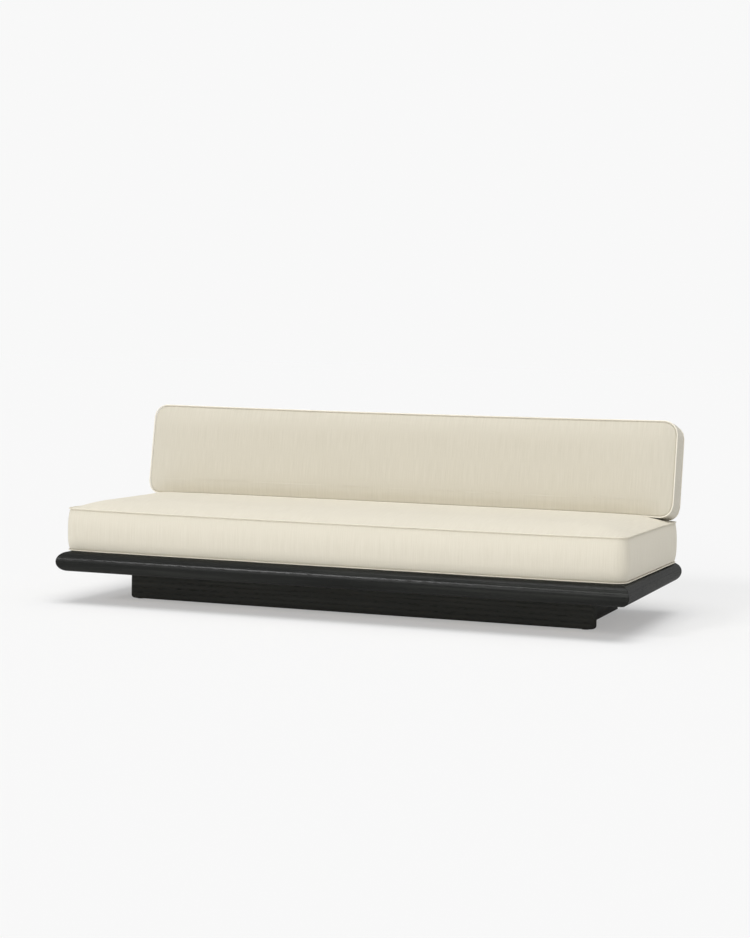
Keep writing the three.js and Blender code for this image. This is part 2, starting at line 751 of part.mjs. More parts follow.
const loopBack = hookFront - clearance;
const loopFront = loopBack - stripThickness;
const backPlane = loopFront - clearance;
const backReach = backThickness + pipingRadius - backPlane;

// Height in the leaning frame at which the back cushion just rests on the seat's crown
function restingHeight() {
  const toLeaning = leaning.matrix.clone().invert();
  const steps = 40;
  const heights = Array.from({ length: steps + 1 }, (_, i) => {
    const y = seat.halfY - seamBevel - seatRearPress * i / steps;
    const z = crownHeight(seat, { x: 0, y });
    const spot = new THREE.Vector3(0, seatMiddle + y, z).applyMatrix4(toLeaning);
    return spot.y > -backReach ? spot.z : -Infinity;
  });
  return Math.max(...heights) + pipingRadius + softClearance;
}

const backGroup = new THREE.Group();
backGroup.position.set(0, backPlane - pipingRadius, restingHeight() + back.halfY);
backGroup.rotation.x = Math.PI / 2;
leaning.add(backGroup);

const backZipY = restCrownWidth + coverThickness + zipTapeWidth / 2 + zipGrooveMargin - back.halfY;
const backZipZ = back.low - pipingRadius + coverThickness + softClearance;
const layFlat = (geometry) => geometry.rotateX(-Math.PI / 2).translate(0, backZipY, backZipZ);

addMesh(backGroup, 'back_cover', coverGeometry(back, layFlat(zipSlotBox(back))), linen);
addMesh(backGroup, 'back_foam_core',
  cutAway(foamGeometry(back, 'whole'), [layFlat(zipGroove(back))]), foam);
addMesh(backGroup, 'back_piping_front', pipingGeometry(back, () => back.high), linenPiping);
addMesh(backGroup, 'back_piping_rear', pipingGeometry(back, () => back.low), linenPiping);
addMesh(backGroup, 'back_zip', layFlat(zipGeometry(back)), tape);
addMesh(backGroup, 'back_zip_slider', layFlat(sliderGeometry(back)), zincSteel);
addMesh(leaning, 'loop_strip', block(
  [-stripReach, loopFront, stripMiddle - stripHeight / 2],
  [stripReach, loopBack, stripMiddle + stripHeight / 2]), tape);

// The origin is on the floor under the middle of the whole divan
const whole = new THREE.Box3().setFromObject(divan);
divan.position.y = -(whole.min.y + whole.max.y) / 2;

export default divan;
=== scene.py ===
# Low platform sofa: a black-stained oak frame on a recessed plinth, a boxed seat cushion and a
# boxed back cushion that leans on a board. Metres, +X right, +Y to the back, +Z up from the floor.

import math
import random

import bmesh
import bpy
import numpy as np
from mathutils import Matrix, Vector, kdtree, noise


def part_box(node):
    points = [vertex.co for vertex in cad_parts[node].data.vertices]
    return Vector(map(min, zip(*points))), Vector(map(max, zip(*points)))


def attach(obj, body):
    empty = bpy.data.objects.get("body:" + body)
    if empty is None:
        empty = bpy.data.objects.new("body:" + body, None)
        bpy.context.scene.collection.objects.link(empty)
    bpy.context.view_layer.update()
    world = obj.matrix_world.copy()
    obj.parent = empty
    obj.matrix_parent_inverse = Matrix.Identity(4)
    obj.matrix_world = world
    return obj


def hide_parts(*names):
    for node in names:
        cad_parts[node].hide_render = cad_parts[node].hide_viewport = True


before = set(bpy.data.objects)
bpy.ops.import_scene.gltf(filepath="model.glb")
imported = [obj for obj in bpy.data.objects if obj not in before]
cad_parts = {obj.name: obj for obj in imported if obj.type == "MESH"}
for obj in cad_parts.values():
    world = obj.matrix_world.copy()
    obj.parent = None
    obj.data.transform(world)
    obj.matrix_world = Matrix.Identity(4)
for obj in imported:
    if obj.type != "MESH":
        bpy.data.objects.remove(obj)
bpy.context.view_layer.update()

# Platform rails
# Four lengths of solid oak with a full half-round outer edge, mitred at the corners, stained black
# and waxed. A rebate along the inner top edge takes the deck.

front_rail_low, front_rail_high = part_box("rail_front")
rear_rail_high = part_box("rail_rear")[1]
right_rail_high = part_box("rail_right")[1]
deck_low, deck_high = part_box("deck_panel")
rail_width = front_rail_high.y - front_rail_low.y
rail_height = front_rail_high.z - front_rail_low.z
rail_edge_radius = rail_height / 2
rebate_width = 0.020
rebate_depth = deck_high.z - deck_low.z
rail_arris = 0.0012
mitre_ease = 0.0010
mitre_gap = 0.0002
platform_reach = Vector((right_rail_high.x, (rear_rail_high.y - front_rail_low.y) / 2))
platform_centre_y = (rear_rail_high.y + front_rail_low.y) / 2


def linear(colour):
    """An sRGB hex colour as linear red, green, blue and alpha."""
    parts = [int(colour[i:i + 2], 16) / 255 for i in (1, 3, 5)]
    return (*[p / 12.92 if p <= 0.04045 else ((p + 0.055) / 1.055) ** 2.4 for p in parts], 1.0)


def add_node(tree, kind, inputs=None, stops=None, feeds=(), **settings):
    """Adds a node with its settings; "ShaderNode" is left out of a name. An input is a value, a
    hex colour or the socket that feeds it, and feeds lists the sockets that the result goes to."""
    made = tree.nodes.new(kind if "Node" in kind else "ShaderNode" + kind)
    for name, value in settings.items():
        setattr(made, name, value)
    for key, value in (inputs or {}).items():
        if isinstance(value, bpy.types.NodeSocket):
            tree.links.new(value, made.inputs[key])
        else:
            made.inputs[key].default_value = linear(value) if str(value).startswith("#") else value
    for i, (place, colour) in enumerate(stops or []):
        ramp = made.color_ramp.elements
        stop = ramp[i] if i < len(ramp) else ramp.new(place)
        stop.position, stop.color = place, linear(colour)
    for socket in feeds:
        tree.links.new(made.outputs[0], socket)
    return made


def band_scale(width):
    """The scale at which the bands of a wave texture lie a width apart."""
    return math.pi / 10 / width


def put_in_scene(name, data):
    """A new object with the mesh, lamp or camera given, in the scene."""
    made = bpy.data.objects.new(name, data)
    bpy.context.scene.collection.objects.link(made)
    return made


def emptied_tree(owner):
    """The node tree of a material or a world, with nothing in it."""
    owner.use_nodes = True
    owner.node_tree.nodes.clear()
    return owner.node_tree


def start_material(name, **sockets):
    """A material with its shader, whose sockets that are the same all over are set here."""
    material = bpy.data.materials.new(name)
    tree = emptied_tree(material)
    shader = add_node(tree, "BsdfPrincipled", {
        socket.replace("_", " "): value for socket, value in sockets.items()})
    add_node(tree, "OutputMaterial", {"Surface": shader.outputs["BSDF"]})
    return material, tree, shader


def black_stained_oak(name, film, pore, stains):
    """Black-stained oak, planed and waxed: open pores lie in bands along the grain, so the eye gets
    fine dark dashes, a dull ground and a thin satin film that breaks up over the pores. Only the
    film shines, as nothing shines where it meets the stain. Real pores are 0.3 mm wide and are
    drawn 1.1 mm wide, so that they show."""
    ring_width = 0.0065
    pore_width = 0.0011
    grain_stretch = 22
    cloud_width = 0.035
    ring_depth = 0.12
    ring_contrast = 0.6
    material, tree, shader = start_material(
        name, Specular_IOR_Level=0.0, Coat_Weight=film, Coat_Roughness=0.2, Coat_IOR=1.7)
    timber = add_node(tree, "Attribute", attribute_name="timber").outputs["Vector"]
    drawn_out = add_node(tree, "Mapping", {
        "Vector": timber, "Scale": (1 / grain_stretch, 1, 1)}).outputs["Vector"]
    rings = add_node(tree, "TexWave", {
        "Vector": drawn_out, "Scale": band_scale(ring_width), "Distortion": 5.0, "Detail": 2.0,
        "Detail Scale": 0.35}, wave_type="RINGS", rings_direction="X").outputs["Fac"]
    dashes = add_node(tree, "TexNoise", {
        "Vector": drawn_out, "Scale": 1 / pore_width, "Detail": 1.0}).outputs["Fac"]
    pores = add_node(tree, "MapRange", {
        "Value": dashes, "From Min": 0.56, "From Max": 0.66}).outputs["Result"]
    banded = add_node(tree, "Math", {0: pores, 1: rings}, operation="MULTIPLY").outputs[0]
    cloud = add_node(tree, "TexNoise", {
        "Vector": drawn_out, "Scale": 1 / cloud_width, "Detail": 4.0,
        "Roughness": 0.6}).outputs["Fac"]
    stain = add_node(tree, "ValToRGB", {"Fac": cloud}, stops=[
        (0.34, stains[0]), (0.5, stains[1]), (0.66, stains[2])])
    ring_share = add_node(tree, "Math", {
        0: rings, 1: ring_contrast}, operation="MULTIPLY").outputs[0]
    ringed = add_node(tree, "Mix", {
        "Factor": ring_share, 6: stain.outputs["Color"], 7: stains[0]}, data_type="RGBA")
    coloured = add_node(tree, "Mix", {
        "Factor": banded, 6: ringed.outputs[2], 7: pore}, data_type="RGBA")
    tree.links.new(coloured.outputs[2], shader.inputs["Base Color"])
    gloss = add_node(tree, "MapRange", {
        "Value": cloud, "From Min": 0.3, "From Max": 0.7, "To Min": 0.66, "To Max": 0.52})
    add_node(tree, "Math", {0: banded, 1: 0.3, 2: gloss.outputs["Result"]},
             feeds=[shader.inputs["Roughness"]], operation="MULTIPLY_ADD", use_clamp=True)
    sunk = add_node(tree, "Math", {0: rings, 1: ring_depth, 2: banded}, operation="MULTIPLY_ADD")
    add_node(tree, "Bump", {"Height": sunk.outputs[0], "Strength": 0.6, "Distance": 0.0005},
             feeds=[shader.inputs["Normal"], shader.inputs["Coat Normal"]], invert=True)
    return material


oak = black_stained_oak("black stained oak", 0.18, "#070707", ("#151614", "#1e1f1d", "#2b2c29"))


def filleted(corners, arc_step=0.002):
    """A closed outline, anticlockwise, from (x, y, radius) corners, each rounded by a true arc."""
    spots = [Vector(corner[:2]) for corner in corners]
    outline = []
    for i, here in enumerate(spots):
        radius = corners[i][2]
        if radius == 0:
            outline.append(here)
            continue
        back = (spots[i - 1] - here).normalized()
        onward = (spots[(i + 1) % len(spots)] - here).normalized()
        half = back.angle(onward) / 2
        centre = here + (back + onward).normalized() * radius / math.sin(half)
        arm = here + back * radius / math.tan(half) - centre
        turn = math.copysign(math.pi - 2 * half, onward.cross(back))
        steps = max(3, round(radius * abs(turn) / arc_step))
        for k in range(steps + 1):
            c, s = math.cos(turn * k / steps), math.sin(turn * k / steps)
            outline.append(centre + Vector((arm.x * c - arm.y * s, arm.x * s + arm.y * c)))
    return outline


def shrunk(outline, by):
    """An anticlockwise outline moved inwards by a distance."""
    moved = []
    for i, here in enumerate(outline):
        into = (here - outline[i - 1]).normalized()
        away = (outline[(i + 1) % len(outline)] - here).normalized()
        inward = Vector((-into.y - away.y, into.x + away.x)).normalized()
        moved.append(here + inward * by / max(inward.dot(Vector((-into.y, into.x))), 0.5))
    return moved


def loft(rings):
    """The points and faces of a closed body that passes through rings of equally many points."""
    count = len(rings[0])
    points = [point for ring in rings for point in ring]
    faces = [tuple(range(count)), tuple(range(len(points) - count, len(points)))]
    for k in range(len(rings) - 1):
        for i in range(count):
            a, b = k * count + i, k * count + (i + 1) % count
            faces.append((a, b, b + count, a + count))
    return points, faces


def finished_mesh(name, points, faces, timber=None, sharp=32):
    """A closed mesh that faces outwards, smooth but for edges sharper than an angle in degrees.
    timber gives each point's place in the plank: along the grain, across it and through it."""
    mesh = bpy.data.meshes.new(name)
    mesh.from_pydata([tuple(point) for point in points], [], faces)
    if timber is not None:
        start = Vector([random.Random(name + axis).uniform(-9, 9) for axis in "xyz"])
        layer = mesh.attributes.new("timber", "FLOAT_VECTOR", "POINT")
        layer.data.foreach_set("vector", [c for place in timber for c in Vector(place) + start])
    work = bmesh.new()
    work.from_mesh(mesh)
    bmesh.ops.remove_doubles(work, verts=work.verts, dist=0.000001)
    bmesh.ops.recalc_face_normals(work, faces=work.faces)
    work.to_mesh(mesh)
    work.free()
    mesh.shade_smooth()
    mesh.set_sharp_from_angle(angle=math.radians(sharp))
    return mesh


def add_piece(name, mesh, material, body, slot, *nodes):
    """A finished piece that rides with a body and stands for the CAD nodes named."""
    mesh.materials.clear()
    mesh.materials.append(material)
    piece = put_in_scene(name, mesh)
    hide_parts(*nodes)
    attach(piece, body)
    return piece


rail_section = filleted([
    (0, 0, rail_edge_radius),
    (rail_width, 0, rail_arris),
    (rail_width, rail_height - rebate_depth, 0),
    (rail_width - rebate_width, rail_height - rebate_depth, 0),
    (rail_width - rebate_width, rail_height, rail_arris),
    (0, rail_height, rail_edge_radius)])


def rail_mesh(name, reach, out, along):
    """A mitred rail. reach is from its middle to its outer corner, and out how far out it lies."""
    rings, timber = [], []
    for end, ease in [(-1, mitre_ease), (-1, 0), (1, 0), (1, mitre_ease)]:
        ring = []
        for u, height in shrunk(rail_section, ease):
            run = end * (reach - u - mitre_gap - (mitre_ease - ease))
            spot = along * run + out * (1 - u / out.length)
            ring.append(Vector((spot.x, spot.y + platform_centre_y, front_rail_low.z + height)))
            timber.append((run, u, height))
        rings.append(ring)
    return finished_mesh(name, *loft(rings), timber)


for side, x, y in [("front", 0, -1), ("rear", 0, 1), ("left", -1, 0), ("right", 1, 0)]:
    out, along = Vector((x, y)) * platform_reach, Vector((abs(y), abs(x)))
    name = f"oak_rail_{side}"
    add_piece(name, rail_mesh(name, along.dot(platform_reach), out, along), oak,
              "frame", "black_oak", f"rail_{side}")

# Mitre splines
# Four loose tongues of birch plywood, glued blind across the mitres. They sit inside the rails.


def patterned(name, pattern, stops, rough=None, raised=None, **sockets):
    """A material in which one pattern drives the colour and, where they are given, the roughness
    from one level to another and a relief of a strength and a depth. The pattern is a function
    that adds its own nodes to the tree."""
    material, tree, shader = start_material(name, **sockets)
    level = pattern(tree)
    add_node(tree, "ValToRGB", {"Fac": level}, stops, feeds=[shader.inputs["Base Color"]])
    if rough:
        add_node(tree, "MapRange", {"Value": level, "To Min": rough[0], "To Max": rough[1]},
                 feeds=[shader.inputs["Roughness"]])
    if raised:
        add_node(tree, "Bump", {"Height": level, "Strength": raised[0], "Distance": raised[1]},
                 feeds=[shader.inputs["Normal"]])
    return material


def cut_layers(tree):
    """Birch plywood cut across: thin light and darker layers, matt and pale."""
    layer = 0.0014
    flecks_per_metre = 260
    place = add_node(tree, "TexCoord").outputs["Object"]
    layers = add_node(tree, "TexWave", {
        "Vector": place, "Scale": band_scale(layer), "Distortion": 0.4}, bands_direction="Z")
    fleck = add_node(tree, "TexNoise", {"Vector": place, "Scale": flecks_per_metre, "Detail": 3.0})
    return add_node(tree, "Math", {
        0: layers.outputs["Fac"], 1: fleck.outputs["Fac"]}, operation="MULTIPLY").outputs[0]


spline_finish = patterned("birch plywood spline", cut_layers, [(0.1, "#b08f63"), (0.6, "#d8bf94")],
                          Roughness=0.72)
corner_names = ["front_left", "front_right", "rear_left", "rear_right"]
for corner in corner_names:
    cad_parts[f"mitre_spline_{corner}"].data.materials[0] = spline_finish

# Deck panel
# One sheet of 18 mm birch plywood that lies in the rails' rebate and carries the seat cushion.
# Its face is sanded and clear-lacquered.

deck_arris = 0.0010


def board_mesh(name, low, high, grain_axis, arris):
    """A board between two corners, its arrises eased, with its grain along one axis."""
    work = bmesh.new()
    bmesh.ops.create_cube(work, size=1.0)
    size, middle = high - low, (high + low) / 2
    for vert in work.verts:
        vert.co = Vector(c * s + m for c, s, m in zip(vert.co, size, middle))
    bmesh.ops.bevel(work, geom=work.edges, offset=arris, segments=2, profile=0.5, affect="EDGES")
    points = [vert.co.copy() for vert in work.verts]
    faces = [tuple(vert.index for vert in face.verts) for face in work.faces]
    work.free()
    across = sorted((axis for axis in range(3) if axis != grain_axis), key=lambda axis: -size[axis])
    timber = [[(p - middle)[axis] for axis in (grain_axis, *across)] for p in points]
    return finished_mesh(name, points, faces, timber)


def birch_plywood():
    """Birch plywood, rotary-cut and sanded: pale silky figure on the face, and thin brown and pale
    layers along the edges, which are 1.4 mm each."""
    layer = 0.0028
    figures_per_metre = 26
    fibres_per_metre = 900
    material, tree, shader = start_material("birch plywood", Roughness=0.5)
    timber = add_node(tree, "Attribute", attribute_name="timber").outputs["Vector"]
    long_way = add_node(tree, "Mapping", {"Vector": timber, "Scale": (0.12, 1, 1)})
    figure = add_node(tree, "TexNoise", {
        "Vector": long_way.outputs["Vector"], "Scale": figures_per_metre, "Detail": 6.0,
        "Distortion": 1.2})
    layers = add_node(tree, "TexWave", {
        "Vector": timber, "Scale": band_scale(layer)}, bands_direction="Z")
    face = add_node(tree, "ValToRGB", {"Fac": figure.outputs["Fac"]}, stops=[
        (0.34, "#c8a674"), (0.5, "#d9bd8f"), (0.68, "#e3cda6")])
    layered = add_node(tree, "Mix", {
        "Factor": layers.outputs["Fac"], 6: "#9c7a4e", 7: face.outputs["Color"]}, data_type="RGBA")
    tree.links.new(layered.outputs[2], shader.inputs["Base Color"])
    fine = add_node(tree, "TexNoise", {
        "Vector": long_way.outputs["Vector"], "Scale": fibres_per_metre, "Detail": 2.0})
    add_node(tree, "Bump", {"Height": fine.outputs["Fac"], "Strength": 0.2, "Distance": 0.0003},
             feeds=[shader.inputs["Normal"]])
    return material


add_piece("ply_deck", board_mesh("ply_deck", deck_low, deck_high, 0, deck_arris), birch_plywood(),
          "frame", "birch_ply", "deck_panel")

# Cross rails
# Five planed pine bars under the deck, let into housings in the front and rear rails.

cross_rail_count = 5
pine_arris = 0.0020


def pine_rings(tree):
    """Pine, planed and left bare: straight honey-coloured growth rings on a pale ground, with a
    soft dry surface."""
    ring_width = 0.0042
    timber = add_node(tree, "Attribute", attribute_name="timber").outputs["Vector"]
    drawn_out = add_node(tree, "Mapping", {"Vector": timber, "Scale": (0.05, 1, 1)})
    return add_node(tree, "TexWave", {
        "Vector": drawn_out.outputs["Vector"], "Scale": band_scale(ring_width), "Distortion": 3.0,
        "Detail": 2.0, "Detail Scale": 0.4}, wave_type="RINGS", rings_direction="X",
        wave_profile="SAW").outputs["Fac"]


pine = patterned("planed pine", pine_rings, [(0.0, "#e0c697"), (0.7, "#d3b07a"), (1.0, "#a9783f")],
                 raised=(0.25, 0.0003), Roughness=0.68)
for number in range(1, cross_rail_count + 1):
    low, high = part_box(f"cross_rail_{number}")
    name = f"pine_cross_rail_{number}"
    add_piece(name, board_mesh(name, low, high, 1, pine_arris), pine, "frame", "pine",
              f"cross_rail_{number}")

# Plinth front board
# A 38 mm oak board that runs past the side boards. Its upright ends are rounded over, and so are
# its lower corners.

plinth_low, plinth_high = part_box("plinth_front_board")
board_end_radius = 0.015
board_corner_radius = 0.012
plinth_arris = 0.0015
square_corners = [(-1, -1), (1, -1), (1, 1), (-1, 1)]


def plinth_front_mesh(name):
    """The board as level cuts from the bottom up, each with rounded corners."""
    half_length = plinth_high.x
    half_thickness = (plinth_high.y - plinth_low.y) / 2
    middle_y = (plinth_high.y + plinth_low.y) / 2
    height = plinth_high.z - plinth_low.z
    steps = 8
    levels = [board_corner_radius * (1 - math.cos(i / steps * math.pi / 2))
              for i in range(steps + 1)]
    rings, timber = [], []
    for z in [*levels, height - plinth_arris, height]:
        drop = max(board_corner_radius - z, 0)
        end = half_length - board_corner_radius + math.sqrt(board_corner_radius ** 2 - drop ** 2)
        ease = max(plinth_arris - min(z, height - z), 0)
        outline = shrunk(filleted([(x * end, y * half_thickness, board_end_radius)
                                   for x, y in square_corners]), ease)
        rings.append([Vector((x, middle_y + y, plinth_low.z + z)) for x, y in outline])
        timber += [(x, z, y) for x, y in outline]
    return finished_mesh(name, *loft(rings), timber)


# The plinth's oak has a thinner film, and its stains and pores are painted lighter than the rails':
# painted light, for the light that reaches it under the platform.
plinth_oak_painted_light = black_stained_oak("black stained oak, dull, with painted light", 0.08, "#20211f",
                               ("#343532", "#393a37", "#3f403d"))
add_piece("oak_plinth_front", plinth_front_mesh("oak_plinth_front"), plinth_oak_painted_light,
          "frame", "black_oak", "plinth_front_board")

# Plinth sides, rear and divider
# Black oak boards set back from the front board's ends, a rear board between them, and a pine
# divider under the middle. All are glued and screwed from inside.

# The side and rear boards take the plinth's oak with its painted light.
for part, timber_finish, slot, grain_axis in [
        ("side_board_left", plinth_oak_painted_light, "black_oak", 1),
        ("side_board_right", plinth_oak_painted_light, "black_oak", 1),
        ("rear_board", plinth_oak_painted_light, "black_oak", 0), ("divider", pine, "pine", 1)]:
    low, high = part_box(f"plinth_{part}")
    name = f"{slot}_{part}"
    add_piece(name, board_mesh(name, low, high, grain_axis, plinth_arris), timber_finish,
              "frame", slot, f"plinth_{part}")

# Corner blocks
# Triangular pine blocks glued into the plinth's inner corners, their grain upright.

for corner in corner_names:
    low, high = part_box(f"corner_block_{corner}")
    to_side = 1 if "right" in corner else -1
    to_back = 1 if "rear" in corner else -1
    corner_x, other_x = (low.x, high.x)[::-to_side]
    corner_y, other_y = (low.y, high.y)[::-to_back]
    wedge = filleted([(corner_x, corner_y, 0), (other_x, corner_y, pine_arris),
                      (corner_x, other_y, pine_arris)][::to_side * to_back])
    levels = [(low.z, pine_arris), (low.z + pine_arris, 0),
              (high.z - pine_arris, 0), (high.z, pine_arris)]
    rings = [[Vector((*spot, z)) for spot in shrunk(wedge, ease)] for z, ease in levels]
    timber = [(spot.z, spot.x, spot.y) for ring in rings for spot in ring]
    name = f"pine_block_{corner}"
    add_piece(name, finished_mesh(name, *loft(rings), timber), pine, "frame", "pine",
              f"corner_block_{corner}")

# Glides
# Four thin discs of black nylon under the plinth, pressed on with a pin.


def scuffs(tree):
    """Black nylon, injection-moulded: matt with a fine even grain and paler scuffs."""
    scuffs_per_metre = 140
    place = add_node(tree, "TexCoord").outputs["Object"]
    return add_node(tree, "TexNoise", {
        "Vector": place, "Scale": scuffs_per_metre, "Detail": 5.0}).outputs["Fac"]


glide_finish = patterned("moulded nylon", scuffs, [(0.45, "#1b1b1b"), (0.75, "#3a3a39")],
                         rough=(0.45, 0.75), Specular_IOR_Level=0.4)
for corner in corner_names:
    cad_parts[f"glide_{corner}"].data.materials[0] = glide_finish

# Back brackets
# Three flat steel bars, 60 by 8 mm, bent twice: a foot let into the underside of the rear rail, an
# upright behind it, and an arm that leans back 9.5 degrees. Their tips are rounded and they are
# powder-coated black.

back_lean = math.radians(9.5)
bar_thickness = 0.008
bar_bend_radius = 0.012
bar_tip_radius = 0.012
bar_arris = 0.0010
bracket_bend_height = 0.353
arm_reach = 0.290
bar_clearance = 0.0003
bar_front_y = rear_rail_high.y + bar_clearance
leaning = (Matrix.Translation((0, bar_front_y, bracket_bend_height))
           @ Matrix.Rotation(-back_lean, 4, "X"))


def bent_path(corners, radius, steps):
    """The points of a line through corners, each bent with a soft curve, without its ends."""
    points = [corners[0]]
    for before, here, after in zip(corners, corners[1:], corners[2:]):
        into, away = (here - before).normalized(), (after - here).normalized()
        setback = radius * math.tan(into.angle(away) / 2)
        start, end = here - into * setback, here + away * setback
        for i in range(steps + 1):
            t = i / steps
            points.append(start * (1 - t) ** 2 + here * 2 * t * (1 - t) + end * t ** 2)
    return points + [corners[-1]]


def bracket_mesh(name, low, high):
    """The bar as cuts along its bent path, between its lowest and highest corner."""
    half_width = (high.x - low.x) / 2
    middle_x = (high.x + low.x) / 2
    half = bar_thickness / 2
    tip = leaning @ Vector((0, half, arm_reach))
    upright_y = bar_front_y + half
    bend_z = bracket_bend_height - half * math.tan(back_lean / 2)
    path = bent_path([Vector((low.y, low.z + half)), Vector((upright_y, low.z + half)),
                      Vector((upright_y, bend_z)), tip.yz], bar_bend_radius, 10)
    last = path.pop()
    away = (last - path[-1]).normalized()
    steps = 6
    tip_runs = [bar_tip_radius * math.sin(i / steps * math.pi / 2) for i in range(steps + 1)]
    stations = [(point, half_width, 0) for point in path]
    stations[0] = (path[0], half_width, bar_arris)
    stations.insert(1, (path[0] + Vector((bar_arris, 0)), half_width, 0))
    for run in tip_runs:
        narrower = bar_tip_radius - math.sqrt(max(bar_tip_radius ** 2 - run ** 2, 0))
        stations.append((last + away * (run - bar_tip_radius), half_width - narrower, 0))
    stations[-1] = (last, stations[-1][1], bar_arris)
    rings = []
    for i, (point, width, ease) in enumerate(stations):
        before = stations[max(i - 1, 0)][0]
        after = stations[min(i + 1, len(stations) - 1)][0]
        run = (after - before).normalized()
        normal = Vector((-run.y, run.x))
        outline = shrunk(filleted([(x * width, y * half, bar_arris)
                                   for x, y in square_corners]), ease)
        rings.append([Vector((middle_x + x, *(point + normal * y))) for x, y in outline])
    return finished_mesh(name, *loft(rings))


def powder_coat():
    """Mild steel, powder-coated black: satin with the fine orange peel of a sprayed and baked coat,
    a little duller in patches."""
    patches_per_metre = 22
    peel_width = 0.0016
    material, tree, shader = start_material("black powder coat", Specular_IOR_Level=0.45)
    place = add_node(tree, "TexCoord").outputs["Object"]
    patch = add_node(tree, "TexNoise", {
        "Vector": place, "Scale": patches_per_metre, "Detail": 3.0}).outputs["Fac"]
    add_node(tree, "ValToRGB", {"Fac": patch}, [(0.35, "#171717"), (0.7, "#222221")],
             feeds=[shader.inputs["Base Color"]])
    add_node(tree, "MapRange", {"Value": patch, "To Min": 0.36, "To Max": 0.6},
             feeds=[shader.inputs["Roughness"]])
    peel = add_node(tree, "TexNoise", {"Vector": place, "Scale": 1 / peel_width, "Detail": 1.0})
    add_node(tree, "Bump", {"Height": peel.outputs["Fac"], "Strength": 0.3, "Distance": 0.0002},
             feeds=[shader.inputs["Normal"]])
    return material


steel = powder_coat()
for place in ["left", "centre", "right"]:
    node = f"back_bracket_{place}"
    add_piece(f"steel_bracket_{place}", bracket_mesh(node, *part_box(node)), steel,
              "frame", "black_steel", node)

# Back board
# A black oak board, 18 mm thick with rounded corners, screwed to the three arms. The back cushion
# leans on it.

board_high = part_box("back_board")[1]
back_board_height = 0.220
back_board_thickness = 0.018
back_board_radius = 0.030
back_board_lift = 0.085
back_board_arris = 0.0030
board_front = -bar_clearance - back_board_thickness


def leaning_board(name, half_length, height, lift, front, back, radius, arris):
    """A board in the leaning frame, its upright corners rounded and its arrises eased."""
    corners = [(-1, 0), (1, 0), (1, 1), (-1, 1)]
    outline = filleted([(x * half_length, lift + z * height, radius) for x, z in corners],
                       arc_step=0.004)
    steps = 3
    eases = [arris * (1 - math.sin(i / steps * math.pi / 2)) for i in range(steps + 1)]
    runs = [arris * (1 - math.cos(i / steps * math.pi / 2)) for i in range(steps + 1)]
    layers = [(front + run, ease) for run, ease in zip(runs, eases)]
    layers += [(back - run, ease) for run, ease in zip(runs[::-1], eases[::-1])]
    rings = [[leaning @ Vector((x, y, z)) for x, z in shrunk(outline, ease)] for y, ease in layers]
    timber = [(x, z, y) for y, ease in layers for x, z in shrunk(outline, ease)]
    return finished_mesh(name, *loft(rings), timber)


add_piece("oak_back_board", leaning_board(
    "oak_back_board", board_high.x, back_board_height, back_board_lift, board_front, -bar_clearance,
    back_board_radius, back_board_arris), oak, "frame", "black_oak", "back_board")

# Screws
# Twelve zinc-plated screws: six countersunk ones up through the brackets' feet into the rear rail,
# and six button heads that hold the back board. Each has a hexagonal socket.

screw_radius = 0.0025
button_radius = 0.0055
button_height = 0.0028
sunk_radius = 0.0048
sunk_depth = 0.0026
socket_radius = 0.0021
socket_rim = 0.0009
socket_depth = 0.0016
button_shank = 0.020
sunk_shank = 0.039
sunk_length = 0.045
head_edge = 0.0003
foot_screw_y = [0.3453, 0.3983]
arm_screw_lift = [0.129, 0.261]
bracket_x = [-0.700, 0.0, 0.700]


def zinc_bloom(tree):
    """Steel, zinc-plated: a cool grey metal with a faint cloudy bloom that dulls it in places."""
    blooms_per_metre = 320
    place = add_node(tree, "TexCoord").outputs["Object"]
    return add_node(tree, "TexNoise", {
        "Vector": place, "Scale": blooms_per_metre, "Detail": 4.0}).outputs["Fac"]


def screw_form(name, profile):
    """A screw turned from (radius, height) points about Z, top first, with a socket in its top."""
    sides = 24
    angles = [2 * math.pi * i / sides for i in range(sides)]
    turns = [(math.cos(angle), math.sin(angle)) for angle in angles]
    hexagon = [max(abs(math.cos(angle - k * math.pi / 3)) for k in range(3)) for angle in angles]
    top = profile[0][1]
    socket = [[Vector((c * socket_radius / h, s * socket_radius / h, top - sunk)) for (c, s), h
               in zip(turns, hexagon)] for sunk in (socket_depth, 0)]
    rest = [[Vector((c * radius, s * radius, z)) for c, s in turns] for radius, z in profile]
    return finished_mesh(name, *loft(socket + rest))


def applied(carrier):
    """A carrier's mesh with its modifiers applied. The carrier itself goes."""
    bpy.context.view_layer.update()
    evaluated = carrier.evaluated_get(bpy.context.evaluated_depsgraph_get())
    mesh = bpy.data.meshes.new_from_object(evaluated)
    bpy.data.objects.remove(carrier)
    return mesh


